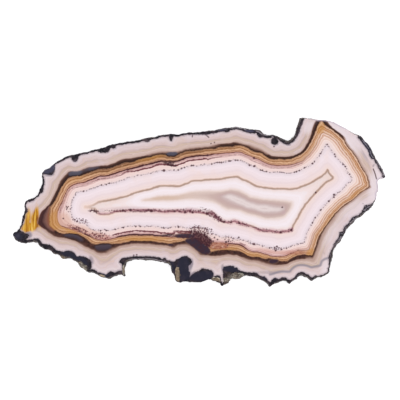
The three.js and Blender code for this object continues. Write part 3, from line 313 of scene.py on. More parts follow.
# Soft patches: x, y, half length and half width in mm, angle in degrees, and strength
PATCHES = {
    "amber": [
        (-69.1, -8, 5.4, 1.2, 83, 1.2), (-65.8, -7, 4.5, 1.35, 82, 1.5), (-67.2, -10.3, 3.4, 1.0, 4, 1.0),
        (-67.3, -8, 3.6, 0.8, 90, 0.4), (-69.6, -11.2, 2.6, 1.7, 0, 1.2), (-66.8, -11.4, 3.2, 1.4, 4, 0.45),
    ],
    "golden": [
        (48.4, 28.6, 3, 2, 70, 1.0), (44, -21, 2.4, 1.6, 45, 1.0), (22, -22, 8, 1, -8, 0.6),
        (-20, 16.6, 9, 1.2, 12, 0.7), (-23, -15.5, 14, 1.2, 0, 0.9), (-58, -8, 5, 3, 78, 1.1),
        (-52, -12.4, 6, 1.4, -20, 0.8), (10, -19.4, 8, 0.9, 0, 0.7), (62, 2, 5, 1.6, 35, 0.6),
        (51, -10, 9, 1.4, 58, 0.6), (-50, 8, 6, 1.6, 20, 0.5),
    ],
    "red": [
        (7.6, -18.3, 5.4, 1.8, 0, 1.0), (36, -21, 9, 1.3, 0, 0.8), (-39.6, -14.6, 5, 1.7, -12, 0.9),
        (-49, -11.8, 5.6, 1.3, -20, 1.0), (-6.4, -13.1, 3.6, 0.6, 0, 0.9), (26, -20, 5, 1.2, -10, 0.6),
    ],
    "violet": [
        (-0.9, -18.1, 4.6, 1.8, -33, 1.5), (1.9, -20.2, 2.2, 1.5, -10, 1.3),
        (-3.4, -17, 2.8, 0.8, -18, 1.0), (-6.2, -14.3, 4.2, 0.8, 2, 1.2), (-13, -14, 4, 0.45, 4, 0.6),
        (29.4, -24.6, 2.2, 1.0, 5, 0.9), (-11.6, -18, 1.6, 0.6, 0, 0.6), (-12.4, 14.9, 3.6, 0.5, 0, 0.5),
    ],
    "slate": [
        (-50, 10.7, 2.8, 1.3, 10, 1.2), (-11.2, 18.5, 2.6, 0.9, 3, 1.1), (-50.6, -15, 4.2, 1.3, -17, 1.3),
        (-38.8, -18.8, 3.5, 1.9, 4, 1.3), (-43.6, 12.6, 4.6, 1.2, 14, 0.5), (46.4, 31, 1, 0.7, 60, 0.4),
        (-60.4, 12.4, 2.8, 1.7, 30, 1.2), (66.8, 21.4, 6, 1.6, -60, 0.35), (-73, -14.6, 3.4, 2, 0, 0.3),
        (9, 28.2, 2.4, 0.6, 5, 0.8), (20, 27.6, 2.4, 0.6, -5, 0.8),
    ],
    "speckle": [
        (0.6, -12.4, 6, 2.6, -14, 1.2), (-39.6, -14.2, 5, 1.9, -8, 1.0), (-48.6, -11.6, 6, 1.3, -22, 1.1),
        (12, -15.8, 5, 1.8, -14, 0.8), (30.5, -19.2, 3.4, 1.1, 0, 0.9), (4, -16.2, 2.6, 1.6, -30, 0.9),
        (-47.6, -8.4, 5, 1.4, -12, 0.9), (-53, -3, 1.6, 3.6, 0, 0.7), (21, -17.2, 5, 1, -16, 0.7),
        (-22, -4.3, 24, 1.0, 0, 1.0), (5.4, -6.2, 7, 1.5, -31, 1.3), (-42.6, -4.4, 3, 1, -20, 0.9),
        (22, -11, 14, 0.8, -10, 0.6), (-4, -4.4, 6, 1.4, 0, 0.6), (-8, 13, 9, 0.8, 9, 0.35),
        (50.4, 21, 2.6, 1.6, 50, 0.35), (-14, -11.2, 8, 0.9, 0, 0.45),
    ],
    "haze": [
        (-4, -3.8, 4.6, 1.1, 0, 0.8), (-29, -3.3, 12, 0.9, 1, 0.7), (-39.6, -4.4, 2, 1.1, 0, 0.5),
        (-14, -4, 5, 0.8, 0, 0.5), (8.6, 1.8, 1.4, 0.5, -15, 0.5), (33.4, -5, 1.4, 0.9, 30, 0.6),
        (36, -12, 1.4, 0.7, 30, 0.8), (24, -11.6, 9, 0.8, -12, 0.3),
    ],
    "smudge": [
        (35.6, 22.05, 1.5, 0.4, 8, 0.8), (69.4, 13.8, 1, 0.7, 60, 0.7), (65.2, -1.6, 0.8, 0.4, 0, 0.7),
        (51.1, -27.3, 0.6, 0.6, 0, 0.8), (49.6, -21.2, 0.7, 1.2, 0, 0.5), (-50, 16.6, 0.5, 0.5, 0, -0.8),
    ],
    "matrix": [
        (14.4, -30.6, 3.8, 1.5, 12, 1.3), (-47.2, -26.9, 2.9, 1.5, -42, 1.4),
        (-55.2, -23.2, 1.5, 0.9, 0, 1.2), (-9, -29.8, 3.8, 0.85, 92, 1.4), (6.3, -31.6, 2, 0.9, 0, 1.2),
        (-39, -30.3, 1.9, 0.45, -10, 0.8), (-30.5, -27.9, 2.4, 0.6, 90, 1.2), (10, -32, 1.6, 0.9, 0, 1.1),
    ],
    "tan": [
        (-9, -29.8, 4.2, 1.2, 92, 1.4), (6.3, -31.8, 2.2, 1.0, 0, 0.8), (-55.2, -23.4, 1.4, 1, 0, 0.8),
        (-39, -30.3, 2, 0.6, -10, 1), (-30.5, -27.9, 2.4, 0.6, 90, 0.6),
    ],
    "bare": [(52.5, 32, 10.5, 2.6, -16, 1.6), (71.5, 4.6, 5.6, 1.8, 84, 1.6)],
    "wine": [
        (-14, -4.6, 20, 1.5, 0, 1.2), (5.4, -6.2, 4.4, 1.7, -30, 1), (14, -9, 7, 1.8, -14, 1),
        (28, -12.2, 9, 1.4, -4, 1.1), (36.2, -11.8, 1.6, 1.2, 0, 0.8), (-38, -5, 6, 1.3, 10, 0.5),
    ],
    "pale": [
        (56, 26, 14, 5, -40, 0.9), (71, 5, 5, 10, 0, 0.9), (62, -3, 7, 4, 35, 0.6), (50, -27, 3, 5, 0, 0.6),
        (52.6, -13, 10, 2.6, 58, 0.55), (43.4, 29, 4, 2.4, 70, 0.7), (-65, 3, 5, 3, 60, 0.4),
    ],
    "plum": [(-62.4, -6.8, 5, 3, 72, 1.5), (-60.6, -10.4, 3.4, 1.4, -38, 1.0)],
    "umber": [(-32, 14.2, 20, 3, 12, 1.1), (-8, 18.6, 14, 2.6, 6, 0.9), (10, 21, 8, 1.6, 0, 0.5)],
    "crimson": [
        (-12, 14.8, 20, 3.2, 9, 1.2), (-24, -13.4, 14, 2.2, 0, 1.3), (-4, -13.4, 8, 2, 0, 1.0),
        (-46, -12.8, 7, 2.2, -22, 0.7), (14, -18.4, 9, 2, -4, 0.5), (-40, 9.2, 12, 1.6, 12, 0.5),
    ],
    "murk": [
        (0.2, -15.1, 4.3, 1.9, -14, 1.5), (-0.4, -12.9, 4.4, 2.0, -20, 0.55),
        (3.4, -16.4, 1.4, 0.9, -40, 0.9), (-5, -12.7, 4, 0.7, 0, 0.6), (-46.6, -13, 4, 0.8, -28, 0.6),
        (-51, -11.2, 3, 0.8, -14, 0.6), (-11.8, 14.1, 3.6, 0.8, -12, 1.15), (30, -19.4, 1.4, 0.7, 0, 0.5),
        (3.8, -17.4, 1.5, 1.7, 10, 0.75), (5.4, -16.6, 2.4, 0.7, -10, 0.45),
        (0.9, -16.9, 4.0, 1.1, -36, 1.0),
    ],
    "peach": [(-54.6, -8.6, 3.4, 4, 0, 1.1), (-54, 2, 6, 1.8, 62, 0.7), (-45, -12.2, 8, 1.6, -20, 0.7)],
    "bold": [
        (-57.5, 4.5, 11, 3.4, 62, 1.3), (-46, 12, 12, 3, 14, 1.2), (-30, 15.8, 10, 2.4, 10, 0.8),
        (-52, -15.2, 16, 3.2, -25, 1.2), (44.6, 25.5, 9, 3, 68, 1.5), (53.4, 29, 8, 2.6, -42, 1.0),
        (34, 17.4, 8, 2, 0, 0.9), (8, -21.4, 14, 2, 0, 0.8), (36, -24, 10, 2, 5, 0.7),
        (10, 22.6, 10, 1.6, 0, 0.4),
    ],
    "navy": [
        (-6.5, -27.5, 5.6, 3.2, 90, 1.2), (1, -30.4, 5.4, 2.2, 10, 1.2), (12, -27.6, 5, 1.4, -5, 1.0),
        (-11.4, -26.5, 3, 1.4, 90, 0.8), (-73, -14.6, 3.4, 2.4, 0, 0.7), (-52.5, -22, 4, 1.6, -20, 1.0),
        (-47, -25, 3.4, 2.2, -50, 0.9), (-38, -30, 3, 1.4, 0, 0.7), (28, -31, 6, 1.4, 0, 0.6),
        (67.6, 19.6, 7, 2, -60, 0.6), (39, -30.6, 4, 1.2, 0, 0.7),
    ],
    "hush": [
        (-57.4, -6.6, 5.4, 4, 76, 1.3), (-50.6, -11, 3, 1.4, -15, 0.5), (6.4, -16.6, 5, 1.1, 0, 0.9),
    ],
    "veil": [
        (-68.4, -14, 1.6, 1.6, 0, 1.0), (-3.6, -26, 3, 1.0, 78, 1.0), (-3, -29.6, 2, 0.8, 40, 0.8),
        (-60, 10, 2.4, 0.8, 10, 0.7), (34, 23.4, 2.6, 0.8, 0, 0.6), (9, -27, 0.8, 2, 0, 0.7),
        (66, 17.6, 5, 0.8, -60, 0.5), (-43.4, -24, 1.2, 2.4, 20, 0.7), (27, -29, 8, 0.8, 0, 0.5),
    ],
}

PATCH_FALL = 1.4  # a patch fades as exp(-PATCH_FALL * r**PATCH_POWER), where r is 1 at its half length
PATCH_POWER = 3

# What each point of the mesh knows, three numbers to an attribute
KNOWN = ("x", "y", "z", *BANDS, *LINES, *PATCHES, "speck", "edge")

# The mesh, in mm
SKIN_STEP = 0.5  # longest edge on the skin
FINE_STEP = 0.36  # between points of the upper face close to a thin line
COARSE_STEP = 0.75  # and elsewhere
UNDER_STEP = 0.8  # between points of the face it lies on
NEAR_LINE = 0.8  # how close to a line the fine step is kept
RIM_CLEAR = 0.7 * FINE_STEP  # the inner points stay this far from the rim
EXACT_CLEAR = 0.55 * FINE_STEP  # and the grid this far from points that have to be corners
ON_FACE = 0.002  # a point this close to a plane lies in it
SAME_PLACE = 1e-7  # points this close are one
TINY = 1e-12  # keeps a division clear of 0
CURVE_CUTS = 3  # steps of a smooth line between two of its points
SKIN_EASE = (3, 0.5)  # rounds, and the share of the way to the neighbours' middle
RIM_EASE = (2, 0.4)
SKIN, UPPER, UNDER = 0, 1, 2  # the kinds of triangles

# The skin's crumbs: depth in mm and how many to a mm
CRUMBS = [(0.26, 0.45), (0.2, 1.1), (0.1, 2.6)]
CRUMB_NOISE = (1, 2, 2)  # how fast its layers weaken, how much finer each is, and how many
CRUMB_MEAN = 0.24
BARE_CRUMBS = 0.45  # share of that where the stone is broken clean
SLENDER = [(-9.9, -30.6, 3.4, 2, 90, 2.4), (-30.6, -29.8, 1.8, 1.5, 90, 2.4), (8.4, -33, 1.8, 1.5, 90, 2.4)]
SLENDER_KEPT = 0.9  # share by which the thin teeth in those patches are spared
FACE_CLEAR = 0.04  # the crumbs stay this far from the planes of the sawn faces

# The bake's map
BAKE_SCALE = 6.5 / 1024  # of the map's side for each mm
BAKE_MARGIN = 2 / 1024
BAKE_ROWS = 3  # the skin is laid out in this many strips

# Where a look begins and where it is complete, in mm along X
FAIR = (32.0, 52.0)
GLINTING = (44.0, 58.0)
CORED_RIND = (40.0, 56.0)
SANDY_MIDDLE = (2.0, -14.0)
BROWN_LINE = (-49.0, -36.0)
STRONG_WINE = (-6.0, 6.0)
RUSTY = (22.0, 14.0)

# and along Y
LOWER = (0.0, -14.0)
RIMMED_SLATE = (2.0, -2.0)

# The finish
AGATE_IOR = 1.54
POLISH_BUMP = 0.05 * MM
SKIN_BUMP = 0.06 * MM

# The studio, in metres and watts
LIGHT_POWERS = (4.3, 4.0, 4.3, 4.0)  # one light over each corner
LIGHT_ELEVATION = 60  # degrees
LIGHT_DISTANCE = 1.2
LIGHT_SIDE = 0.7
SKY_STRENGTH = 0.12
FLOOR_REACH = 2.0
FLOOR_DROP = 0.00002  # so that the floor isn't in the plane of the stone's under face
CAMERA_HEIGHT = 1.5
SENSOR = 36.0  # mm


def on_part(point):
    """A point of the view on the part, in mm."""
    return (point[0] + VIEW_MIDDLE[0], point[1] + VIEW_MIDDLE[1])


def rounded(points, closed):
    """A smooth line through the points."""
    p = np.array([on_part(point) for point in points])
    if closed:
        before, after, beyond = np.roll(p, 1, 0), np.roll(p, -1, 0), np.roll(p, -2, 0)
        start = p
    else:
        ends = np.vstack([2 * p[0] - p[1], p, 2 * p[-1] - p[-2]])
        before, start, after, beyond = ends[:-3], ends[1:-2], ends[2:-1], ends[3:]
    steps = [
        0.5 * (2 * start + t * (after - before) + t**2 * (2 * before - 5 * start + 4 * after - beyond)
               + t**3 * (3 * start - before - 3 * after + beyond))
        for t in np.arange(CURVE_CUTS) / CURVE_CUTS
    ]
    line = np.stack(steps, 1).reshape(-1, 2)
    return line if closed else np.vstack([line, p[-1]])


def distance(points, line, closed):
    """How far each point is from the line."""
    least = np.full(len(points), np.inf)
    ends = np.roll(line, -1, 0) if closed else line[1:]
    for a, b in zip(line, ends):
        along = b - a
        share = np.clip(((points - a) @ along) / max(along @ along, TINY), 0, 1)
        away = points - a - share[:, None] * along
        least = np.minimum(least, np.einsum("ij,ij->i", away, away))
    return np.sqrt(least)


def inside(points, edges):
    """Whether each point is within the closed lines that the edges, pairs of points, make up."""
    x, y = points[:, 0], points[:, 1]
    within = np.zeros(len(points), bool)
    for (ax, ay), (bx, by) in edges:
        if ay != by:
            within ^= ((ay > y) != (by > y)) & (x < (bx - ax) * (y - ay) / (by - ay) + ax)
    return within


def signed(points, line):
    """The distance from a closed line, above 0 within it."""
    edges = np.stack([line, np.roll(line, -1, 0)], 1)
    return distance(points, line, True) * np.where(inside(points, edges), 1, -1)


def patch(points, places):
    """How strongly each point is in a set of soft patches."""
    total = np.zeros(len(points))
    for x, y, half_length, half_width, angle, strength in places:
        away = points - on_part((x, y))
        c, s = math.cos(math.radians(angle)), math.sin(math.radians(angle))
        along = (away[:, 0] * c + away[:, 1] * s) / half_length
        across = (away[:, 1] * c - away[:, 0] * s) / half_width
        total += strength * np.exp(-PATCH_FALL * (along**2 + across**2) ** (PATCH_POWER / 2))
    return total


def specks(points, places):
    """How strongly each point is in a speck: 1 at its middle, 0 from its edge out."""
    total = np.zeros(len(points))
    for x, y, reach in places:
        away = np.linalg.norm(points - on_part((x, y)), axis=1)
        total = np.maximum(total, np.clip(1 - away / reach, 0, 1))
    return total


def nearest(points, others):
    """The number of the other point nearest to each point, and how far away it is."""
    tree = kdtree.KDTree(len(others))
    for i, p in enumerate(others):
        tree.insert((*p, 0), i)
    tree.balance()
    found = [tree.find((*p, 0)) for p in points]
    return np.array([number for _, number, _ in found]), np.array([far for _, _, far in found])


def skin_of(solid):
    """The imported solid's skin in mm, without its sawn faces: its points and its triangles."""
    bm = bmesh.new()
    bm.from_mesh(solid.data)
    bmesh.ops.scale(bm, vec=(1 / MM,) * 3, verts=bm.verts)
    bmesh.ops.remove_doubles(bm, verts=bm.verts, dist=ON_FACE)
    sawn = [
        f for f in bm.faces
        if any(all(abs(v.co.z - z) < ON_FACE for v in f.verts) for z in (0, THICKNESS))
    ]
    bmesh.ops.delete(bm, geom=sawn, context="FACES")
    bm.verts.index_update()
    places = np.array([v.co for v in bm.verts])
    faces = np.array([[v.index for v in f.verts] for f in bm.faces])
    bm.free()
    return places, faces


def edges_of(faces):
    """The edges, each once, the three that each triangle has, and how many triangles each has."""
    pairs = np.sort(np.stack([faces, np.roll(faces, -1, 1)], -1), -1).reshape(-1, 2)
    edges, number, count = np.unique(pairs, axis=0, return_inverse=True, return_counts=True)
    return edges, number.reshape(-1, 3), count


def split(a, b, c, ab, bc, ca):
    """A triangle cut at the middles of its long edges. The middle of a whole edge is -1."""
    cuts = (ab >= 0) + (bc >= 0) + (ca >= 0)
    if cuts == 0:
        return [(a, b, c)]
    if cuts == 3:
        return [(a, ab, ca), (ab, b, bc), (ca, bc, c), (ab, bc, ca)]
    while ab < 0 or (cuts == 2 and ca >= 0):
        a, b, c, ab, bc, ca = b, c, a, bc, ca, ab
    if cuts == 1:
        return [(a, ab, c), (ab, b, c)]
    return [(ab, b, bc), (a, ab, bc), (a, bc, c)]


def refined(places, faces, step):
    """The same surface, its edges halved until none is longer than a step."""
    while True:
        edges, sides, _ = edges_of(faces)
        long = np.linalg.norm(places[edges[:, 0]] - places[edges[:, 1]], axis=1) > step
        if not long.any():
            return places, faces
        middle = np.full(len(edges), -1)
        middle[long] = len(places) + np.arange(long.sum())
        places = np.vstack([places, places[edges[long]].mean(1)])
        made = [split(*face, *cut) for face, cut in zip(faces.tolist(), middle[sides].tolist())]
        faces = np.array([piece for pieces in made for piece in pieces])


def eased(places, links, movable, rounds, share):
    """The places after each movable one has gone part of the way to its neighbours' middle."""
    pairs = np.vstack([links, links[:, ::-1]])
    count = np.maximum(np.bincount(pairs[:, 0], minlength=len(places)), 1)[:, None]
    for _ in range(rounds):
        total = np.zeros_like(places)
        np.add.at(total, pairs[:, 0], places[pairs[:, 1]])
        places = np.where(movable[:, None], places + share * (total / count - places), places)
    return places


def normals(places, faces):
    """Which way is outward at each place."""
    a, b, c = (places[faces[:, i]] for i in range(3))
    across = np.cross(b - a, c - a)
    total = np.zeros_like(places)
    for i in range(3):
        np.add.at(total, faces[:, i], across)
    return total / np.maximum(np.linalg.norm(total, axis=1), TINY)[:, None]


def crumbled(places, faces, rims):
    """The skin worn down into crumbs. Nothing goes outward, and rims stay in their plane."""
    outward = normals(places, faces)
    rim = np.zeros(len(places), bool)
    rim[rims] = True
    outward[rim, 2] = 0
    depth = np.full(len(places), CRUMB_MEAN)
    for size, pitch in CRUMBS:
        depth += size * np.array([noise.fractal(Vector(p) * pitch, *CRUMB_NOISE) for p in places])
    bare = np.clip(patch(places[:, :2], PATCHES["bare"]), 0, 1)
    depth = np.clip(depth, 0, None) * (1 - (1 - BARE_CRUMBS) * bare)
    depth *= 1 - SLENDER_KEPT * np.clip(patch(places[:, :2], SLENDER), 0, 1)
    worn = places - outward * depth[:, None]
    worn[~rim, 2] = np.clip(worn[~rim, 2], FACE_CLEAR, THICKNESS - FACE_CLEAR)
    return worn


def spread(step):
    """Points in a triangular pattern over the whole face, a step apart."""
    half = (cad_box[1] - cad_box[0]) / (2 * MM)
    rows = np.arange(-half.y, half.y, step * math.sqrt(3) / 2)
    columns = np.arange(-half.x, half.x, step)
    return np.array([(x + (i % 2) * step / 2, y) for i, y in enumerate(rows) for x in columns])


def filled(rim_places, rim_edges, inner):
    """Triangles between the rims and the inner points: the places, the triangles and each place's origin."""
    segments = rim_places[rim_edges]
    clear = inside(inner, segments) & (nearest(inner, rim_places)[1] > RIM_CLEAR)
    points = [Vector(p) for p in (*rim_places, *inner[clear])]
    made, _, faces, origin, *_ = delaunay_2d_cdt(points, rim_edges.tolist(), [], 0, SAME_PLACE, True)
    places, faces = np.array([tuple(p) for p in made]), np.array(faces)
    faces = faces[inside(places[faces].mean(1), segments)]
    return places, faces, np.array([(own or [-1])[0] for own in origin])


def lined(lines, closed):
    """Smooth lines, all closed or all with ends."""
    return [rounded(line, closed) for line in lines]


def exact_points():
    """Points that must be corners of the mesh: along the lines with ends and in the specks."""
    found = []
    for line in lined(sum(LINES.values(), []), False):
        for a, b in zip(line, line[1:]):
            pieces = max(1, round(np.linalg.norm(b - a) / FINE_STEP))
            found += [a + (b - a) * i / pieces for i in range(pieces)]
    return np.array(found + [on_part((x, y)) for x, y, _ in SPECKS])


def face_grids(thin):
    """The inner points of the upper face, closer together near thin lines, and of the under one."""
    exact = exact_points()
    fine, coarse = spread(FINE_STEP), spread(COARSE_STEP)
    from_fine, from_coarse = (nearest(grid, np.vstack([*thin, exact]))[1] for grid in (fine, coarse))
    grid = np.vstack([fine[from_fine < NEAR_LINE], coarse[from_coarse >= NEAR_LINE]])
    clear = nearest(grid, exact)[1] > EXACT_CLEAR
    return np.vstack([grid[clear], exact]), spread(UNDER_STEP)


def stone_mesh(solid, thin):
    """The whole stone in mm: its places, its triangles and their kinds."""
    places, faces = refined(*skin_of(solid), SKIN_STEP)
    links, _, count = edges_of(faces)
    rims = links[count == 1]
    on_rim = np.zeros(len(places), bool)
    on_rim[rims] = True
    places = eased(places, links, ~on_rim, *SKIN_EASE)
    places = eased(places, rims, on_rim, *RIM_EASE)
    places = crumbled(places, faces, rims)
    kinds = [np.full(len(faces), SKIN)]
    parts = [faces]
    for kind, height, inner in zip((UPPER, UNDER), (THICKNESS, 0), face_grids(thin)):
        here = rims[(abs(places[rims, 2] - height) < ON_FACE).all(1)]
        ids, edges = np.unique(here, return_inverse=True)
        flat, made, origin = filled(places[ids, :2], edges.reshape(-1, 2), inner)
        known = (origin >= 0) & (origin < len(ids))
        number = np.where(known, ids[np.clip(origin, 0, len(ids) - 1)], 0)
        number[~known] = len(places) + np.arange((~known).sum())
        places = np.vstack([places, np.column_stack([flat[~known], np.full((~known).sum(), height)])])
        made = number[made]
        a, b, c = (places[made[:, i], :2] for i in range(3))
        wrong = (np.cross(b - a, c - a) > 0) != (kind == UPPER)
        made[wrong] = made[wrong][:, ::-1]
        parts.append(made)
        kinds.append(np.full(len(made), kind))
    return places, np.vstack(parts), np.concatenate(kinds)


def known_values(places, rim_places):
    """What each point of the mesh knows, under its names."""
    at = places[:, :2]
    known = dict(zip("xyz", places.T))
    known |= {name: signed(at, rounded(line, True)) for name, line in BANDS.items()}
    for name, lines in LINES.items():
        known[name] = np.min([distance(at, line, False) for line in lined(lines, False)], axis=0)
    known |= {name: patch(at, spots) for name, spots in PATCHES.items()}
    known["speck"] = specks(at, SPECKS)
    known["edge"] = nearest(at, rim_places)[1]
    return known


def chained(edges):
    """The points of the longest closed line that the edges make, in order."""
    beside = {}
    for a, b in edges:
        beside.setdefault(a, []).append(b)
        beside.setdefault(b, []).append(a)
    left, longest = set(beside), []
    while left:
        start = min(left)
        line, here = [start], start
        left.discard(start)
        while ahead := [n for n in beside[here] if n in left]:
            here = ahead[0]
            line.append(here)
            left.discard(here)
        longest = max(longest, line, key=len)
    return longest


def bake_corners(places, faces, kinds):
    """Where each corner of each triangle is on the bake's map: both faces, and the skin in strips."""
    half = np.array((cad_box[1] - cad_box[0]).xy) / (2 * MM)
    corners = ((places[:, :2] + half) * BAKE_SCALE + BAKE_MARGIN)[faces]
    face_height = 2 * half[1] * BAKE_SCALE + 2 * BAKE_MARGIN
    corners[kinds == UNDER, :, 1] += face_height

    skin = faces[kinds == SKIN]
    ids = np.unique(skin)
    on_rim = set(ids) & set(faces[kinds == UNDER].ravel())
    sides = (pair for a, b, c in skin for pair in ((a, b), (b, c), (c, a)))
    edges = {tuple(sorted(pair)) for pair in sides if on_rim.issuperset(pair)}
    line = places[chained(edges), :2]
    lengths = np.linalg.norm(np.roll(line, -1, 0) - line, axis=1)
    start = np.concatenate([[0], np.cumsum(lengths)[:-1]])
    around = lengths.sum()
    along = np.zeros(len(places))
    along[ids] = start[nearest(places[ids, :2], line)[0]]
    s = along[skin]
    s = np.where(s.max(1, keepdims=True) - s > around / 2, s + around, s)
    row_length = around / BAKE_ROWS
    row = np.clip(s.min(1) // row_length, 0, BAKE_ROWS - 1)[:, None]
    row_scale = min(BAKE_SCALE, (1 - 2 * BAKE_MARGIN) / (row_length + 3 * SKIN_STEP))
    row_height = THICKNESS * BAKE_SCALE + 2 * BAKE_MARGIN
    u = (s - row * row_length) * row_scale + BAKE_MARGIN
    v = 2 * face_height + row * row_height + places[skin, 2] * BAKE_SCALE + BAKE_MARGIN
    corners[kinds == SKIN] = np.clip(np.stack([u, v], -1), 0, 1)
    return corners.reshape(-1, 2)


def placed(name, data):
    """A new object in the scene."""
    made = bpy.data.objects.new(name, data)
    bpy.context.scene.collection.objects.link(made)
    return made


def stone_object(solid):
    """The finished stone, with what its points know and its two materials."""
    thin = lined([line for name, line in BANDS.items() if name not in SOFT_BANDS], True)
    places, faces, kinds = stone_mesh(solid, thin + lined(SECOND_MAROON, False))
    mesh = bpy.data.meshes.new("banded_stone")
    mesh.from_pydata((places * MM).tolist(), [], faces.tolist())
    rim = np.intersect1d(faces[kinds == UPPER], faces[kinds == SKIN])
    known = known_values(places, places[rim, :2])
    for group in range(len(KNOWN) // 3):
        values = np.column_stack([known[name] for name in KNOWN[3 * group : 3 * group + 3]])
        attribute = mesh.attributes.new(f"known_{group}", "FLOAT_VECTOR", "POINT")
        attribute.data.foreach_set("vector", values.astype(np.float32).ravel())
    uv = mesh.uv_layers.new(name="OFBake")
    uv.data.foreach_set("uv", bake_corners(places, faces, kinds).ravel())
    mesh.polygons.foreach_set("material_index", np.where(kinds == SKIN, 1, 0))
    mesh.polygons.foreach_set("use_smooth", kinds == SKIN)
    mesh.materials.append(polished_stone())
    mesh.materials.append(rough_skin())
    mesh.update()
    return placed("banded_stone", mesh)


def srgb(red, green, blue):
    """A colour as Blender wants it, from the usual 0 to 255."""
    shares = (red / 255, green / 255, blue / 255)
    return (*(c / 12.92 if c <= 0.04045 else ((c + 0.055) / 1.055) ** 2.4 for c in shares), 1.0)


class Nodes:
    """Puts a material together from short expressions."""

    def __init__(self, name):
        self.material = bpy.data.materials.new(name)
        self.material.use_nodes = True
        self.tree = self.material.node_tree
        self.tree.nodes.clear()
        self.groups = {}

    def put(self, socket, value):
        """Links or sets an input. A colour is given as the usual three numbers from 0 to 255."""
        if isinstance(value, bpy.types.NodeSocket):
            self.tree.links.new(value, socket)
        else:
            socket.default_value = srgb(*value) if socket.type == "RGBA" else value

    def add(self, kind, inputs, **settings):
        node = self.tree.nodes.new(kind)
        for name, value in settings.items():
            setattr(node, name, value)
        for name, value in inputs.items():
            self.put(node.inputs[name], value)
        return node

    def math(self, operation, *values, clamp=False):
        node = self.add("ShaderNodeMath", dict(enumerate(values)), operation=operation, use_clamp=clamp)
        return node.outputs[0]

    def times(self, a, b, clamp=False):
        return self.math("MULTIPLY", a, b, clamp=clamp)

    def scaled(self, value, factor, shift, clamp=False):
        """The value times a factor, plus a shift."""
        return self.math("MULTIPLY_ADD", value, factor, shift, clamp=clamp)

    def known(self, group):
        """An attribute, whole and then in its three numbers."""
        if group not in self.groups:
            node = self.add("ShaderNodeAttribute", {}, attribute_name=f"known_{group}")
            whole = node.outputs["Vector"]
            self.groups[group] = (whole, *self.add("ShaderNodeSeparateXYZ", {0: whole}).outputs)
        return self.groups[group]

    def read(self, name):
        """What the mesh knows under a name."""
        group, item = divmod(KNOWN.index(name), 3)
        return self.known(group)[1 + item]

    def place(self):
        return self.known(0)[0]

    def rise(self, value, low, high, most=1.0):
        """0 below low, then smoothly up to most from high on. High may be below low."""
        node = self.add(
            "ShaderNodeMapRange", {0: value, 1: low, 2: high, 3: 0.0, 4: most},
            interpolation_type="SMOOTHSTEP",
        )
        return node.outputs[0]

    def near(self, away, half_width, soft):
        """1 within half a width of a line, down to 0 a little further off."""
        return self.rise(self.math("ABSOLUTE", away), self.math("ADD", half_width, soft), half_width)

    def mix(self, share, a, b):
        """A share of b in a. The node's colour inputs are 6 and 7, and its colour output is 2."""
        return self.add("ShaderNodeMix", {0: share, 6: a, 7: b}, data_type="RGBA").outputs[2]

    def over(self, colour, other, value, low, high, most=1.0):
        """The colour, with the other laid over it as a value goes from low to high."""
        return self.mix(self.rise(value, low, high, most), colour, other)

    def ramp(self, value, stops):
        """A colour for each value, from stops that give a value and a colour."""
        node = self.add("ShaderNodeValToRGB", {0: value})
        elements = node.color_ramp.elements
        while len(elements) < len(stops):
            elements.new(0.5)
        for element, (position, *colour) in zip(elements, stops):
            element.position = position
            element.color = srgb(*colour)
        return node.outputs[0]

    def noise(self, dimensions, inputs):
        """Noise about 0, mostly within -1 to 1."""
        node = self.add("ShaderNodeTexNoise", inputs, noise_dimensions=dimensions)
        return self.scaled(node.outputs["Fac"], 4.0, -2.0)

    def grain(self, pitch, detail=2.0, roughness=0.5, stretch=None):
        """Noise all through the stone. Pitch is how many to a mm, before any stretch along X, Y and Z."""
        place = self.place()
        if stretch:
            place = self.add("ShaderNodeVectorMath", {0: place, 1: stretch}, operation="MULTIPLY").outputs[0]
        inputs = {"Vector": place, "Scale": pitch, "Detail": detail, "Roughness": roughness}
        return self.noise("3D", inputs)

    def layers(self, value):
        """Uneven layers along a value."""
        return self.noise("1D", {"W": value, "Scale": 1.0, "Detail": 3.0})

    def spots(self, pitch, radius):
        """Round spots, 1 at their middle: pitch is how many to a mm, and each is 0.35 to 1.35 radii wide."""
        inputs = {"Vector": self.place(), "Scale": pitch}
        node = self.add("ShaderNodeTexVoronoi", inputs, voronoi_dimensions="2D")
        chance = self.add("ShaderNodeSeparateColor", {0: node.outputs["Color"]}).outputs[0]
        limit = self.times(self.times(radius, pitch), self.math("ADD", chance, 0.35))
        return self.rise(node.outputs["Distance"], self.math("ADD", limit, 0.02), self.times(limit, 0.5))

    def share(self, outer, inner):
        """How far across the band between two lines, from 0 to 1."""
        whole = self.math("SUBTRACT", outer, inner)
        return self.math("DIVIDE", outer, self.math("MAXIMUM", whole, 0.01), clamp=True)

    def bump(self, strength, depth, height):
        inputs = {"Strength": strength, "Distance": depth, "Height": height}
        return self.add("ShaderNodeBump", inputs).outputs[0]

    def output(self, **inputs):
        """The material, once its shader has its inputs. A space in an input's name is written as _."""
        inputs = {name.replace("_", " "): value for name, value in inputs.items()}
        shader = self.add("ShaderNodeBsdfPrincipled", inputs)
        self.add("ShaderNodeOutputMaterial", {"Surface": shader.outputs[0]})
        return self.material


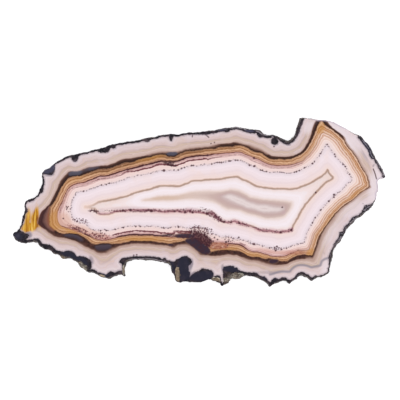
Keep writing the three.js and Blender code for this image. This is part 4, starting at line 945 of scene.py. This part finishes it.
def rind_colour(n, unevenness):
    """The dark rind, slate in places, with painted glints and its bits of host rock, and how rocky it is."""
    blotch = n.grain(0.55, 3.0)
    dark = n.ramp(n.scaled(blotch, 0.5, 0.5), [
        (0.1, 16, 13, 22), (0.42, 32, 25, 35), (0.66, 48, 38, 46), (0.92, 80, 66, 72),
    ])
    dark = n.over(dark, (36, 36, 54), n.read("navy"), 0.15, 0.8, 0.85)
    slate = n.scaled(blotch, 0.15, n.read("slate"))
    dark = n.over(dark, (66, 64, 84), slate, 0.1, 0.7)
    # Painted glints: light specks in the rind in place of reflections, more of them towards the right and
    # along the glint lines
    glint = n.scaled(n.rise(n.read("x"), *GLINTING), 0.3, n.grain(1.4, 3.0, 0.8))
    glint = n.times(n.rise(glint, 0.4, 0.9, 0.75), n.rise(n.read("navy"), 0.4, 0.1))
    glint = n.math("MAXIMUM", glint, n.times(n.near(n.read("glint_lines"), 0.08, 0.2), 0.7))
    dark = n.mix(glint, dark, (172, 162, 172))
    crumb = n.grain(1.9, 3.0, 0.7)
    rock = n.ramp(n.scaled(crumb, 0.62, 0.52), [
        (0.1, 40, 38, 42), (0.34, 98, 92, 84), (0.56, 144, 136, 122), (0.8, 222, 214, 202),
    ])
    tan = n.ramp(n.scaled(crumb, 0.5, 0.5), [
        (0.05, 110, 92, 76), (0.5, 164, 142, 116), (0.95, 206, 190, 164),
    ])
    rock = n.over(rock, tan, n.read("tan"), 0.3, 0.6)
    rocky = n.rise(n.scaled(n.grain(0.9, 3.0), unevenness, n.read("matrix")), 0.35, 0.6)
    return n.mix(rocky, dark, rock), rocky


def outer_band(n, away, slow, lower, ragged):
    """Grey and pink layers that follow the rind, with the amber and the grey line in them."""
    across = n.share(away["rind"], away["dark_out"])
    colour = n.ramp(across, [
        (0.0, 214, 198, 204), (0.12, 225, 208, 212), (0.35, 222, 201, 204), (0.52, 212, 188, 186),
        (0.6, 200, 174, 168), (0.67, 206, 182, 160), (0.74, 200, 170, 164), (0.82, 216, 190, 180),
        (0.92, 206, 178, 170), (1.0, 188, 160, 152),
    ])
    fine = n.layers(n.scaled(across, 10.0, slow))
    colour = n.over(colour, (238, 224, 220), fine, 0.0, 1.0, 0.5)
    colour = n.over(colour, (190, 170, 172), fine, 0.0, -1.0, 0.45)
    peachy = n.layers(n.scaled(across, 7.0, n.scaled(slow, 1.6, 5.0)))
    colour = n.over(colour, (224, 190, 168), peachy, 0.1, 1.0, 0.45)
    colour = n.over(colour, (216, 190, 176), n.grain(0.12, 3.0), 0.0, 1.0, 0.35)
    colour = n.over(colour, (222, 206, 216), n.grain(0.16), 0.2, 1.0, 0.4)
    colour = n.over(colour, (238, 225, 232), n.read("pale"), 0.1, 0.9, 0.8)
    shaded = n.times(n.near(away["dark_out"], 0.1, 1.3), n.times(lower, 0.5))
    colour = n.mix(shaded, colour, (164, 128, 112))
    streaks = n.grain(1.0, 3.0, 0.6, stretch=(1.5, 0.12, 0.12))
    amber = n.ramp(n.scaled(streaks, 0.6, 0.46), [
        (0.08, 122, 68, 14), (0.35, 178, 114, 22), (0.6, 208, 150, 40), (0.92, 242, 202, 104),
    ])
    stained = n.scaled(streaks, 0.2, n.read("amber"))
    colour = n.over(colour, amber, stained, 0.05, 0.95)
    greyed = n.times(n.near(n.read("grey"), 0.0, 0.9), 0.85)
    colour = n.mix(greyed, colour, (142, 134, 146))
    colour = n.over(colour, (138, 124, 134), n.read("smudge"), 0.2, 0.8, 0.8)
    veiled = n.scaled(ragged, 0.05, n.read("veil"))
    return n.over(colour, (112, 104, 120), veiled, 0.1, 0.9, 0.75)


def dark_line(n, away, fair, lower):
    """It comes up softly from its outer side. It is bolder, slate or plum in places."""
    through = n.share(away["dark_out"], away["dark_in"])
    bold = n.rise(n.read("bold"), 0.1, 0.9)
    power = n.scaled(bold, -3.4, n.scaled(fair, 2.2, 1.2))
    power = n.times(power, n.scaled(lower, -0.36, 1.0))
    narrowed = n.math("POWER", through, n.math("MAXIMUM", power, 0.4))
    colour = n.ramp(narrowed, [
        (0.0, 188, 158, 148), (0.22, 154, 122, 110), (0.5, 102, 70, 60), (0.76, 60, 34, 28),
        (1.0, 44, 22, 16),
    ])
    browned = n.over((40, 18, 18), (92, 54, 46), n.grain(0.8, 4.0, 0.75), -0.8, 0.9)
    colour = n.mix(n.times(lower, n.rise(narrowed, 0.3, 0.8, 0.8)), colour, browned)
    slate = n.ramp(through, [
        (0.0, 132, 120, 128), (0.2, 86, 82, 96), (0.7, 74, 70, 84), (0.9, 36, 26, 30), (1.0, 44, 24, 22),
    ])
    rimmed = n.ramp(through, [
        (0.0, 110, 74, 60), (0.1, 58, 32, 24), (0.26, 60, 40, 42), (0.5, 66, 54, 66), (0.76, 76, 64, 76),
        (0.92, 56, 36, 36), (1.0, 60, 34, 26),
    ])
    slate = n.over(slate, rimmed, n.read("y"), *RIMMED_SLATE)
    uneven = n.scaled(n.grain(0.8, 3.0), 0.12, n.read("slate"))
    colour = n.over(colour, slate, uneven, 0.08, 0.7)
    plum = n.ramp(through, [
        (0.0, 124, 74, 56), (0.08, 72, 38, 36), (0.34, 62, 32, 34), (0.48, 98, 64, 60), (0.7, 126, 86, 76),
        (0.9, 136, 84, 64), (1.0, 150, 94, 60),
    ])
    return n.over(colour, plum, n.read("plum"), 0.15, 0.6)


def ochre_band(n, away, slow, fair, red):
    """Thin ochre layers, darker on their outer side and gold or red in places."""
    uneven = n.scaled(n.grain(0.3, 3.0, 0.6), 0.11, n.share(away["dark_in"], away["ochre"]))
    colour = n.ramp(uneven, [
        (0.0, 98, 64, 48), (0.1, 156, 108, 78), (0.18, 192, 144, 108), (0.28, 200, 152, 112),
        (0.35, 152, 98, 62), (0.42, 156, 102, 66), (0.5, 224, 178, 142), (0.62, 230, 186, 150),
        (0.69, 164, 108, 76), (0.76, 158, 104, 78), (0.83, 214, 166, 136), (0.91, 186, 134, 110),
        (1.0, 120, 72, 62),
    ])
    umber = n.ramp(uneven, [
        (0.0, 88, 56, 42), (0.14, 124, 80, 54), (0.24, 160, 112, 78), (0.32, 112, 72, 44),
        (0.4, 120, 78, 48), (0.48, 186, 136, 98), (0.6, 214, 166, 130), (0.68, 196, 146, 114),
        (0.75, 138, 86, 62), (0.83, 192, 142, 116), (1.0, 120, 72, 64),
    ])
    colour = n.over(colour, umber, n.read("umber"), 0.15, 0.8, 0.9)
    veins = n.layers(n.scaled(uneven, 10.0, n.times(slow, 0.6)))
    colour = n.over(colour, (232, 190, 154), veins, 0.1, 1.0, 0.5)
    colour = n.over(colour, (150, 100, 64), veins, -0.1, -1.0, 0.5)
    lit = n.ramp(uneven, [
        (0.0, 104, 66, 52), (0.07, 148, 102, 78), (0.15, 230, 192, 166), (0.23, 236, 202, 178),
        (0.3, 168, 110, 74), (0.38, 178, 120, 84), (0.46, 226, 182, 146), (0.54, 176, 116, 76),
        (0.61, 190, 130, 92), (0.69, 242, 214, 192), (0.78, 238, 206, 184), (0.85, 190, 134, 102),
        (0.91, 206, 154, 124), (1.0, 240, 214, 200),
    ])
    colour = n.mix(n.times(fair, 0.8), colour, lit)
    mottled = n.grain(0.9, 4.0, 0.75)
    colour = n.over(colour, (230, 184, 144), mottled, 0.1, 1.2, 0.5)
    colour = n.over(colour, (146, 92, 62), mottled, -0.1, -1.2, 0.5)
    golden = n.over((178, 116, 52), (218, 162, 84), veins, -0.6, 0.8)
    colour = n.over(colour, golden, n.read("golden"), 0.15, 0.9, 0.6)
    reddish = n.over((138, 74, 62), (204, 142, 118), n.math("ADD", veins, mottled), -0.8, 0.9)
    return n.over(colour, reddish, red, 0.2, 0.8, 0.8)


def rose_band(n, away, slow, fair, red):
    """Pink, with a maroon line on its outer side and a second one within."""
    crimson = n.rise(n.read("crimson"), 0.1, 0.75)
    rose = n.share(away["ochre"], away["speckled"])
    colour = n.ramp(rose, [
        (0.0, 186, 140, 134), (0.12, 212, 170, 166), (0.2, 190, 142, 142), (0.27, 222, 184, 180),
        (0.36, 240, 211, 207), (0.44, 216, 174, 172), (0.52, 242, 215, 211), (0.8, 241, 216, 213),
        (1.0, 228, 206, 208),
    ])
    light = n.ramp(rose, [
        (0.0, 234, 204, 188), (0.08, 238, 210, 196), (0.15, 198, 142, 116), (0.22, 214, 168, 144),
        (0.3, 244, 222, 212), (0.46, 232, 198, 186), (0.54, 246, 224, 218), (1.0, 232, 212, 214),
    ])
    colour = n.mix(fair, colour, light)
    fine = n.layers(n.scaled(rose, 8.0, n.times(slow, 0.6)))
    colour = n.over(colour, (250, 234, 230), fine, 0.1, 1.0, 0.4)
    colour = n.over(colour, (214, 170, 168), fine, -0.2, -1.0, 0.35)
    colour = n.over(colour, (204, 142, 128), red, 0.2, 0.8, 0.6)
    colour = n.over(colour, (220, 176, 158), n.read("peach"), 0.1, 0.8, 0.6)
    beaded = n.scaled(n.grain(1.7, 3.0, 0.7), 0.26, n.scaled(crimson, 0.16, 0.04))
    strength = n.scaled(crimson, 0.45, 0.5)
    second = n.times(n.near(n.read("second"), beaded, 0.22), strength)
    colour = n.mix(second, colour, (106, 44, 56))
    return colour, crimson


def white_band(n, away, slow):
    """White and rosy layers between the specks and the heart."""
    inward = n.share(away["speckled"], away["brown"])
    colour = n.ramp(inward, [
        (0.0, 222, 202, 207), (0.1, 233, 217, 224), (0.3, 245, 229, 235), (0.6, 239, 220, 223),
        (0.84, 240, 217, 213), (0.94, 240, 212, 200), (1.0, 234, 204, 192),
    ])
    fine = n.layers(n.scaled(inward, 9.0, n.times(slow, 0.5)))
    colour = n.over(colour, (251, 241, 246), fine, 0.0, 1.0, 0.35)
    colour = n.over(colour, (224, 206, 214), fine, 0.0, -1.0, 0.3)
    return n.over(colour, (240, 214, 206), n.grain(0.14), 0.1, 1.0, 0.4)


def heart(n, away, slow, colour):
    """The pale heart, its taupe band and the lens in the middle."""
    inner = n.share(away["brown"], away["taupe"])
    pale = n.ramp(inner, [
        (0.0, 234, 208, 198), (0.14, 241, 221, 219), (0.45, 247, 236, 242), (0.75, 245, 231, 234),
        (1.0, 232, 212, 206),
    ])
    fine = n.layers(n.scaled(inner, 6.0, n.times(slow, 0.7)))
    pale = n.over(pale, (238, 238, 246), fine, 0.1, 1.0, 0.45)
    pale = n.over(pale, (238, 214, 208), fine, -0.1, -1.0, 0.3)
    colour = n.over(colour, pale, away["brown"], -0.08, 0.08)
    middle = n.ramp(n.share(away["taupe"], away["lens"]), [
        (0.0, 222, 200, 192), (0.25, 204, 178, 172), (0.6, 198, 170, 167), (1.0, 208, 187, 186),
    ])
    sandy = n.rise(n.read("x"), *SANDY_MIDDLE)
    middle = n.mix(n.times(sandy, 0.75), middle, (214, 184, 164))
    middle = n.over(middle, (224, 206, 204), n.layers(n.times(away["taupe"], 2.2)), 0.0, 1.0, 0.35)
    colour = n.over(colour, middle, away["taupe"], -0.45, 0.45)
    core = n.ramp(n.times(away["lens"], 0.6, clamp=True), [
        (0.0, 214, 195, 194), (0.5, 232, 217, 216), (1.0, 212, 191, 190),
    ])
    return n.over(colour, core, away["lens"], -0.25, 0.25)


def line_work(n, away, colour, crimson, fair, ragged):
    """The lines between the bands, the specks and the dark stains."""
    width = n.scaled(ragged, 0.08, n.scaled(crimson, 0.2, 0.05))
    seen = n.times(n.near(away["ochre"], width, 0.2), n.scaled(fair, -0.85, 0.95))
    seen = n.times(seen, n.rise(n.read("hush"), 0.7, 0.2))
    dashed = n.scaled(n.rise(n.read("red"), 0.1, 0.6), -0.9, n.grain(1.2, 3.0, 0.7))
    seen = n.times(seen, n.rise(dashed, -1.1, -0.6))
    colour = n.mix(seen, colour, n.mix(crimson, (112, 62, 56), (66, 26, 32)))

    colour = n.over(colour, (200, 168, 180), n.read("haze"), 0.1, 0.9, 0.55)
    wine = n.rise(n.read("wine"), 0.25, 0.6)
    bend = n.scaled(n.grain(0.8, 3.0, 0.6), 0.12, away["brown"])
    drawn = n.times(n.near(bend, 0.12, 0.5), n.rise(n.read("x"), *BROWN_LINE, 0.78))
    colour = n.mix(drawn, colour, (158, 124, 106))
    halo = n.times(n.near(bend, 0.4, 1.2), n.times(wine, 0.6))
    colour = n.mix(halo, colour, (212, 168, 174))
    rosy = n.times(n.near(bend, 0.1, 0.5), n.times(wine, 0.75))
    colour = n.mix(rosy, colour, (162, 108, 120))
    strong = n.times(wine, n.math("ADD", n.rise(n.read("x"), *STRONG_WINE, 0.45), 0.45))
    broken = n.scaled(n.grain(1.1, 3.0, 0.75), 0.55, -0.12)
    core = n.times(n.near(bend, n.math("MAXIMUM", broken, 0.02), 0.28), n.rise(broken, -0.1, 0.1))
    colour = n.mix(n.times(core, strong), colour, (100, 38, 54))
    beads = n.spots(1.25, n.times(n.near(bend, 0.3, 0.9), n.times(strong, 0.4)))
    colour = n.mix(n.times(beads, 0.85), colour, (84, 40, 54))

    often = n.rise(n.grain(0.3, 3.0, 0.7), -1.0, 0.5)
    dots = n.spots(1.3, n.times(n.near(away["speckled"], 0.05, 0.6), 0.36))
    colour = n.mix(n.times(dots, n.scaled(often, 0.5, 0.4)), colour, (96, 70, 84))
    thread = n.times(n.near(away["speckled"], 0.02, 0.25), n.rise(ragged, -0.3, 0.6, 0.25))
    colour = n.mix(thread, colour, (158, 134, 146))
    peppered = n.spots(1.15, n.times(n.rise(n.read("speckle"), 0.15, 1.0), 0.44))
    colour = n.mix(n.times(peppered, 0.88), colour, (96, 42, 54))
    sand = n.spots(2.2, n.times(n.rise(n.read("speckle"), 0.3, 1.1), 0.2))
    colour = n.mix(n.times(sand, 0.7), colour, (70, 40, 60))
    colour = n.over(colour, (78, 40, 50), n.read("speck"), 0.12, 0.5, 0.92)

    rusty = n.grain(1.1, 4.0, 0.8, stretch=(0.7, 1.8, 1.0))
    reddened = n.times(n.rise(n.read("red"), 0.15, 0.8), n.rise(n.read("x"), *RUSTY))
    colour = n.mix(n.times(reddened, n.rise(rusty, -0.15, -0.65, 0.6)), colour, (240, 208, 196))
    colour = n.mix(n.times(reddened, n.rise(rusty, 0.0, 0.5, 0.85)), colour, (128, 50, 50))

    violet = n.scaled(n.grain(1.1, 4.0, 0.75), 0.3, n.read("violet"))
    violet = n.times(violet, n.rise(n.read("violet"), 0.02, 0.25))
    colour = n.over(colour, (128, 96, 80), violet, 0.02, 0.35, 0.6)
    murk = n.scaled(n.grain(0.9, 4.0, 0.75), 0.28, n.read("murk"))
    murk = n.times(murk, n.rise(n.read("murk"), 0.02, 0.2))
    clotted = n.over((58, 26, 34), (118, 72, 78), n.grain(1.5, 3.0, 0.75), -0.7, 0.9)
    colour = n.over(colour, clotted, murk, 0.5, 1.1, 0.93)
    spotted = n.spots(1.3, n.rise(murk, 0.1, 1.0, 0.5))
    colour = n.mix(n.times(spotted, 0.9), colour, (62, 24, 36))
    deep = n.over((46, 36, 56), (62, 28, 40), n.grain(0.6, 4.0, 0.7), -0.6, 0.7)
    colour = n.over(colour, deep, violet, 0.12, 0.58, 0.96)
    crack = n.near(n.read("crack"), 0.12, 0.25)
    return n.mix(n.times(crack, 0.9), colour, (88, 62, 64))


def polished_stone():
    """The sawn faces: the bands from the rind inwards, then the lines, then the rind over them."""
    n = Nodes("polished_agate")
    slow, ragged = n.grain(0.22), n.grain(2.4)
    wobble = n.scaled(n.grain(0.75, 3.0), 0.12, n.times(slow, 0.08))
    wobble = n.scaled(ragged, 0.035, wobble)
    away = {name: n.math("ADD", n.read(name), wobble) for name in BANDS}
    lower = n.rise(n.read("y"), *LOWER)
    away["dark_out"] = n.scaled(lower, 0.3, away["dark_out"])
    away["dark_in"] = n.scaled(n.grain(1.8), 0.08, away["dark_in"])
    away["ochre"] = n.scaled(n.grain(1.4, 3.0, 0.7), 0.1, away["ochre"])
    fair = n.rise(n.read("x"), *FAIR)
    red = n.scaled(ragged, 0.12, n.read("red"))

    colour = outer_band(n, away, slow, lower, ragged)
    colour = n.over(colour, dark_line(n, away, fair, lower), away["dark_out"], -0.25, 0.15)
    colour = n.over(colour, ochre_band(n, away, slow, fair, red), away["dark_in"], -0.06, 0.06)
    rose, crimson = rose_band(n, away, slow, fair, red)
    colour = n.over(colour, rose, away["ochre"], -0.08, 0.08)
    colour = n.over(colour, white_band(n, away, slow), away["speckled"], -0.15, 0.2)
    colour = heart(n, away, slow, colour)
    colour = line_work(n, away, colour, crimson, fair, ragged)

    rim, rocky = rind_colour(n, 0.2)
    edge = n.read("edge")
    cored = n.near(n.math("ADD", away["rind"], edge), 0.08, 0.3)
    cored = n.times(cored, n.rise(edge, 0.2, 0.45, 0.8))
    cored = n.times(cored, n.rise(n.grain(0.7, 4.0, 0.7), -0.3, 0.5))
    rim = n.mix(n.times(cored, n.rise(n.read("x"), *CORED_RIND)), rim, (172, 164, 176))
    worn = n.scaled(n.grain(1.3, 4.0, 0.75), 0.3, away["rind"])
    colour = n.over(colour, (150, 134, 146), worn, 1.1, 0.3, 0.5)
    is_rind = n.rise(worn, 0.4, 0.12)
    colour = n.mix(is_rind, colour, rim)
    bare = n.times(n.rise(n.read("bare"), 0.2, 0.6), n.rise(edge, 0.7, 0.1, 0.7))
    colour = n.mix(bare, colour, (196, 184, 200))

    rough = n.times(is_rind, rocky)
    roughness = n.scaled(rough, 0.45, n.scaled(ragged, 0.02, 0.18))
    bump = n.bump(n.scaled(rough, 0.8, 0.01), POLISH_BUMP, n.grain(2.2, 3.0))
    return n.output(Base_Color=colour, Roughness=roughness, Normal=bump, IOR=AGATE_IOR)


def rough_skin():
    """The natural outside: rind, brown crumbs, and clear stone where it is broken."""
    n = Nodes("rough_rind")
    colour, _ = rind_colour(n, 0.5)
    crumb = n.grain(0.9, 4.0, 0.7)
    brown = n.ramp(n.scaled(crumb, 0.5, 0.5), [
        (0.05, 34, 28, 30), (0.4, 70, 56, 50), (0.65, 104, 84, 70), (0.95, 156, 134, 112),
    ])
    colour = n.mix(n.scaled(n.grain(0.3), 0.4, 0.5, clamp=True), colour, brown)
    clear = n.ramp(n.scaled(n.grain(0.8, 4.0), 0.5, 0.5), [
        (0.1, 196, 180, 186), (0.5, 224, 208, 212), (0.9, 240, 228, 230),
    ])
    broken = n.scaled(n.grain(0.5, 4.0, 0.6), 0.45, n.read("bare"))
    colour = n.over(colour, clear, broken, 0.35, 0.65)
    roughness = n.scaled(crumb, 0.12, 0.7, clamp=True)
    bump = n.bump(0.8, SKIN_BUMP, n.grain(2.6, 4.0, 0.7))
    return n.output(Base_Color=colour, Roughness=roughness, Normal=bump, IOR=AGATE_IOR)


def pale_floor():
    """A white floor that glows a little, so that shadows on it stay light."""
    n = Nodes("pale_floor")
    colour = n.ramp(n.scaled(n.grain(0.02), 0.5, 0.5), [(0.0, 248, 248, 250), (1.0, 250, 250, 252)])
    return n.output(Base_Color=colour, Roughness=0.9, Emission_Color=colour, Emission_Strength=0.5)


def make_floor():
    mesh = bpy.data.meshes.new("floor")
    corners = [(x * FLOOR_REACH, y * FLOOR_REACH, 0) for x, y in ((-1, -1), (1, -1), (1, 1), (-1, 1))]
    mesh.from_pydata(corners, [], [(0, 1, 2, 3)])
    mesh.materials.append(pale_floor())
    floor = placed("floor", mesh)
    floor.location.z = -FLOOR_DROP


def soft_light(name, azimuth, power):
    data = bpy.data.lights.new(name, "AREA")
    data.energy = power
    data.size = LIGHT_SIDE
    light = placed(name, data)
    a, e = math.radians(azimuth), math.radians(LIGHT_ELEVATION)
    away = Vector((math.sin(a) * math.cos(e), -math.cos(a) * math.cos(e), math.sin(e)))
    light.location = away * LIGHT_DISTANCE
    light.rotation_mode = "QUATERNION"
    light.rotation_quaternion = away.to_track_quat("Z", "Y")


def make_lights():
    for i, power in enumerate(LIGHT_POWERS):
        soft_light(f"soft_{i}", (i + 0.5) * 360 / len(LIGHT_POWERS), power)
    world = bpy.data.worlds.new("studio")
    world.use_nodes = True
    sky = world.node_tree.nodes["Background"]
    sky.inputs["Color"].default_value = (1, 1, 1, 1)
    sky.inputs["Strength"].default_value = SKY_STRENGTH
    bpy.context.scene.world = world
    bpy.context.scene.view_settings.view_transform = "Standard"


def make_camera():
    data = bpy.data.cameras.new("overhead")
    data.sensor_width = SENSOR
    data.lens = SENSOR * CAMERA_HEIGHT / (VIEW_WIDTH * MM)
    camera = placed("overhead", data)
    camera.location = (VIEW_MIDDLE[0] * MM, VIEW_MIDDLE[1] * MM, CAMERA_HEIGHT + THICKNESS * MM)
    bpy.context.scene.camera = camera


make_camera()
make_lights()
make_floor()
stone = stone_object(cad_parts["agate_slice"])
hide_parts("agate_slice")
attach(stone, "root")
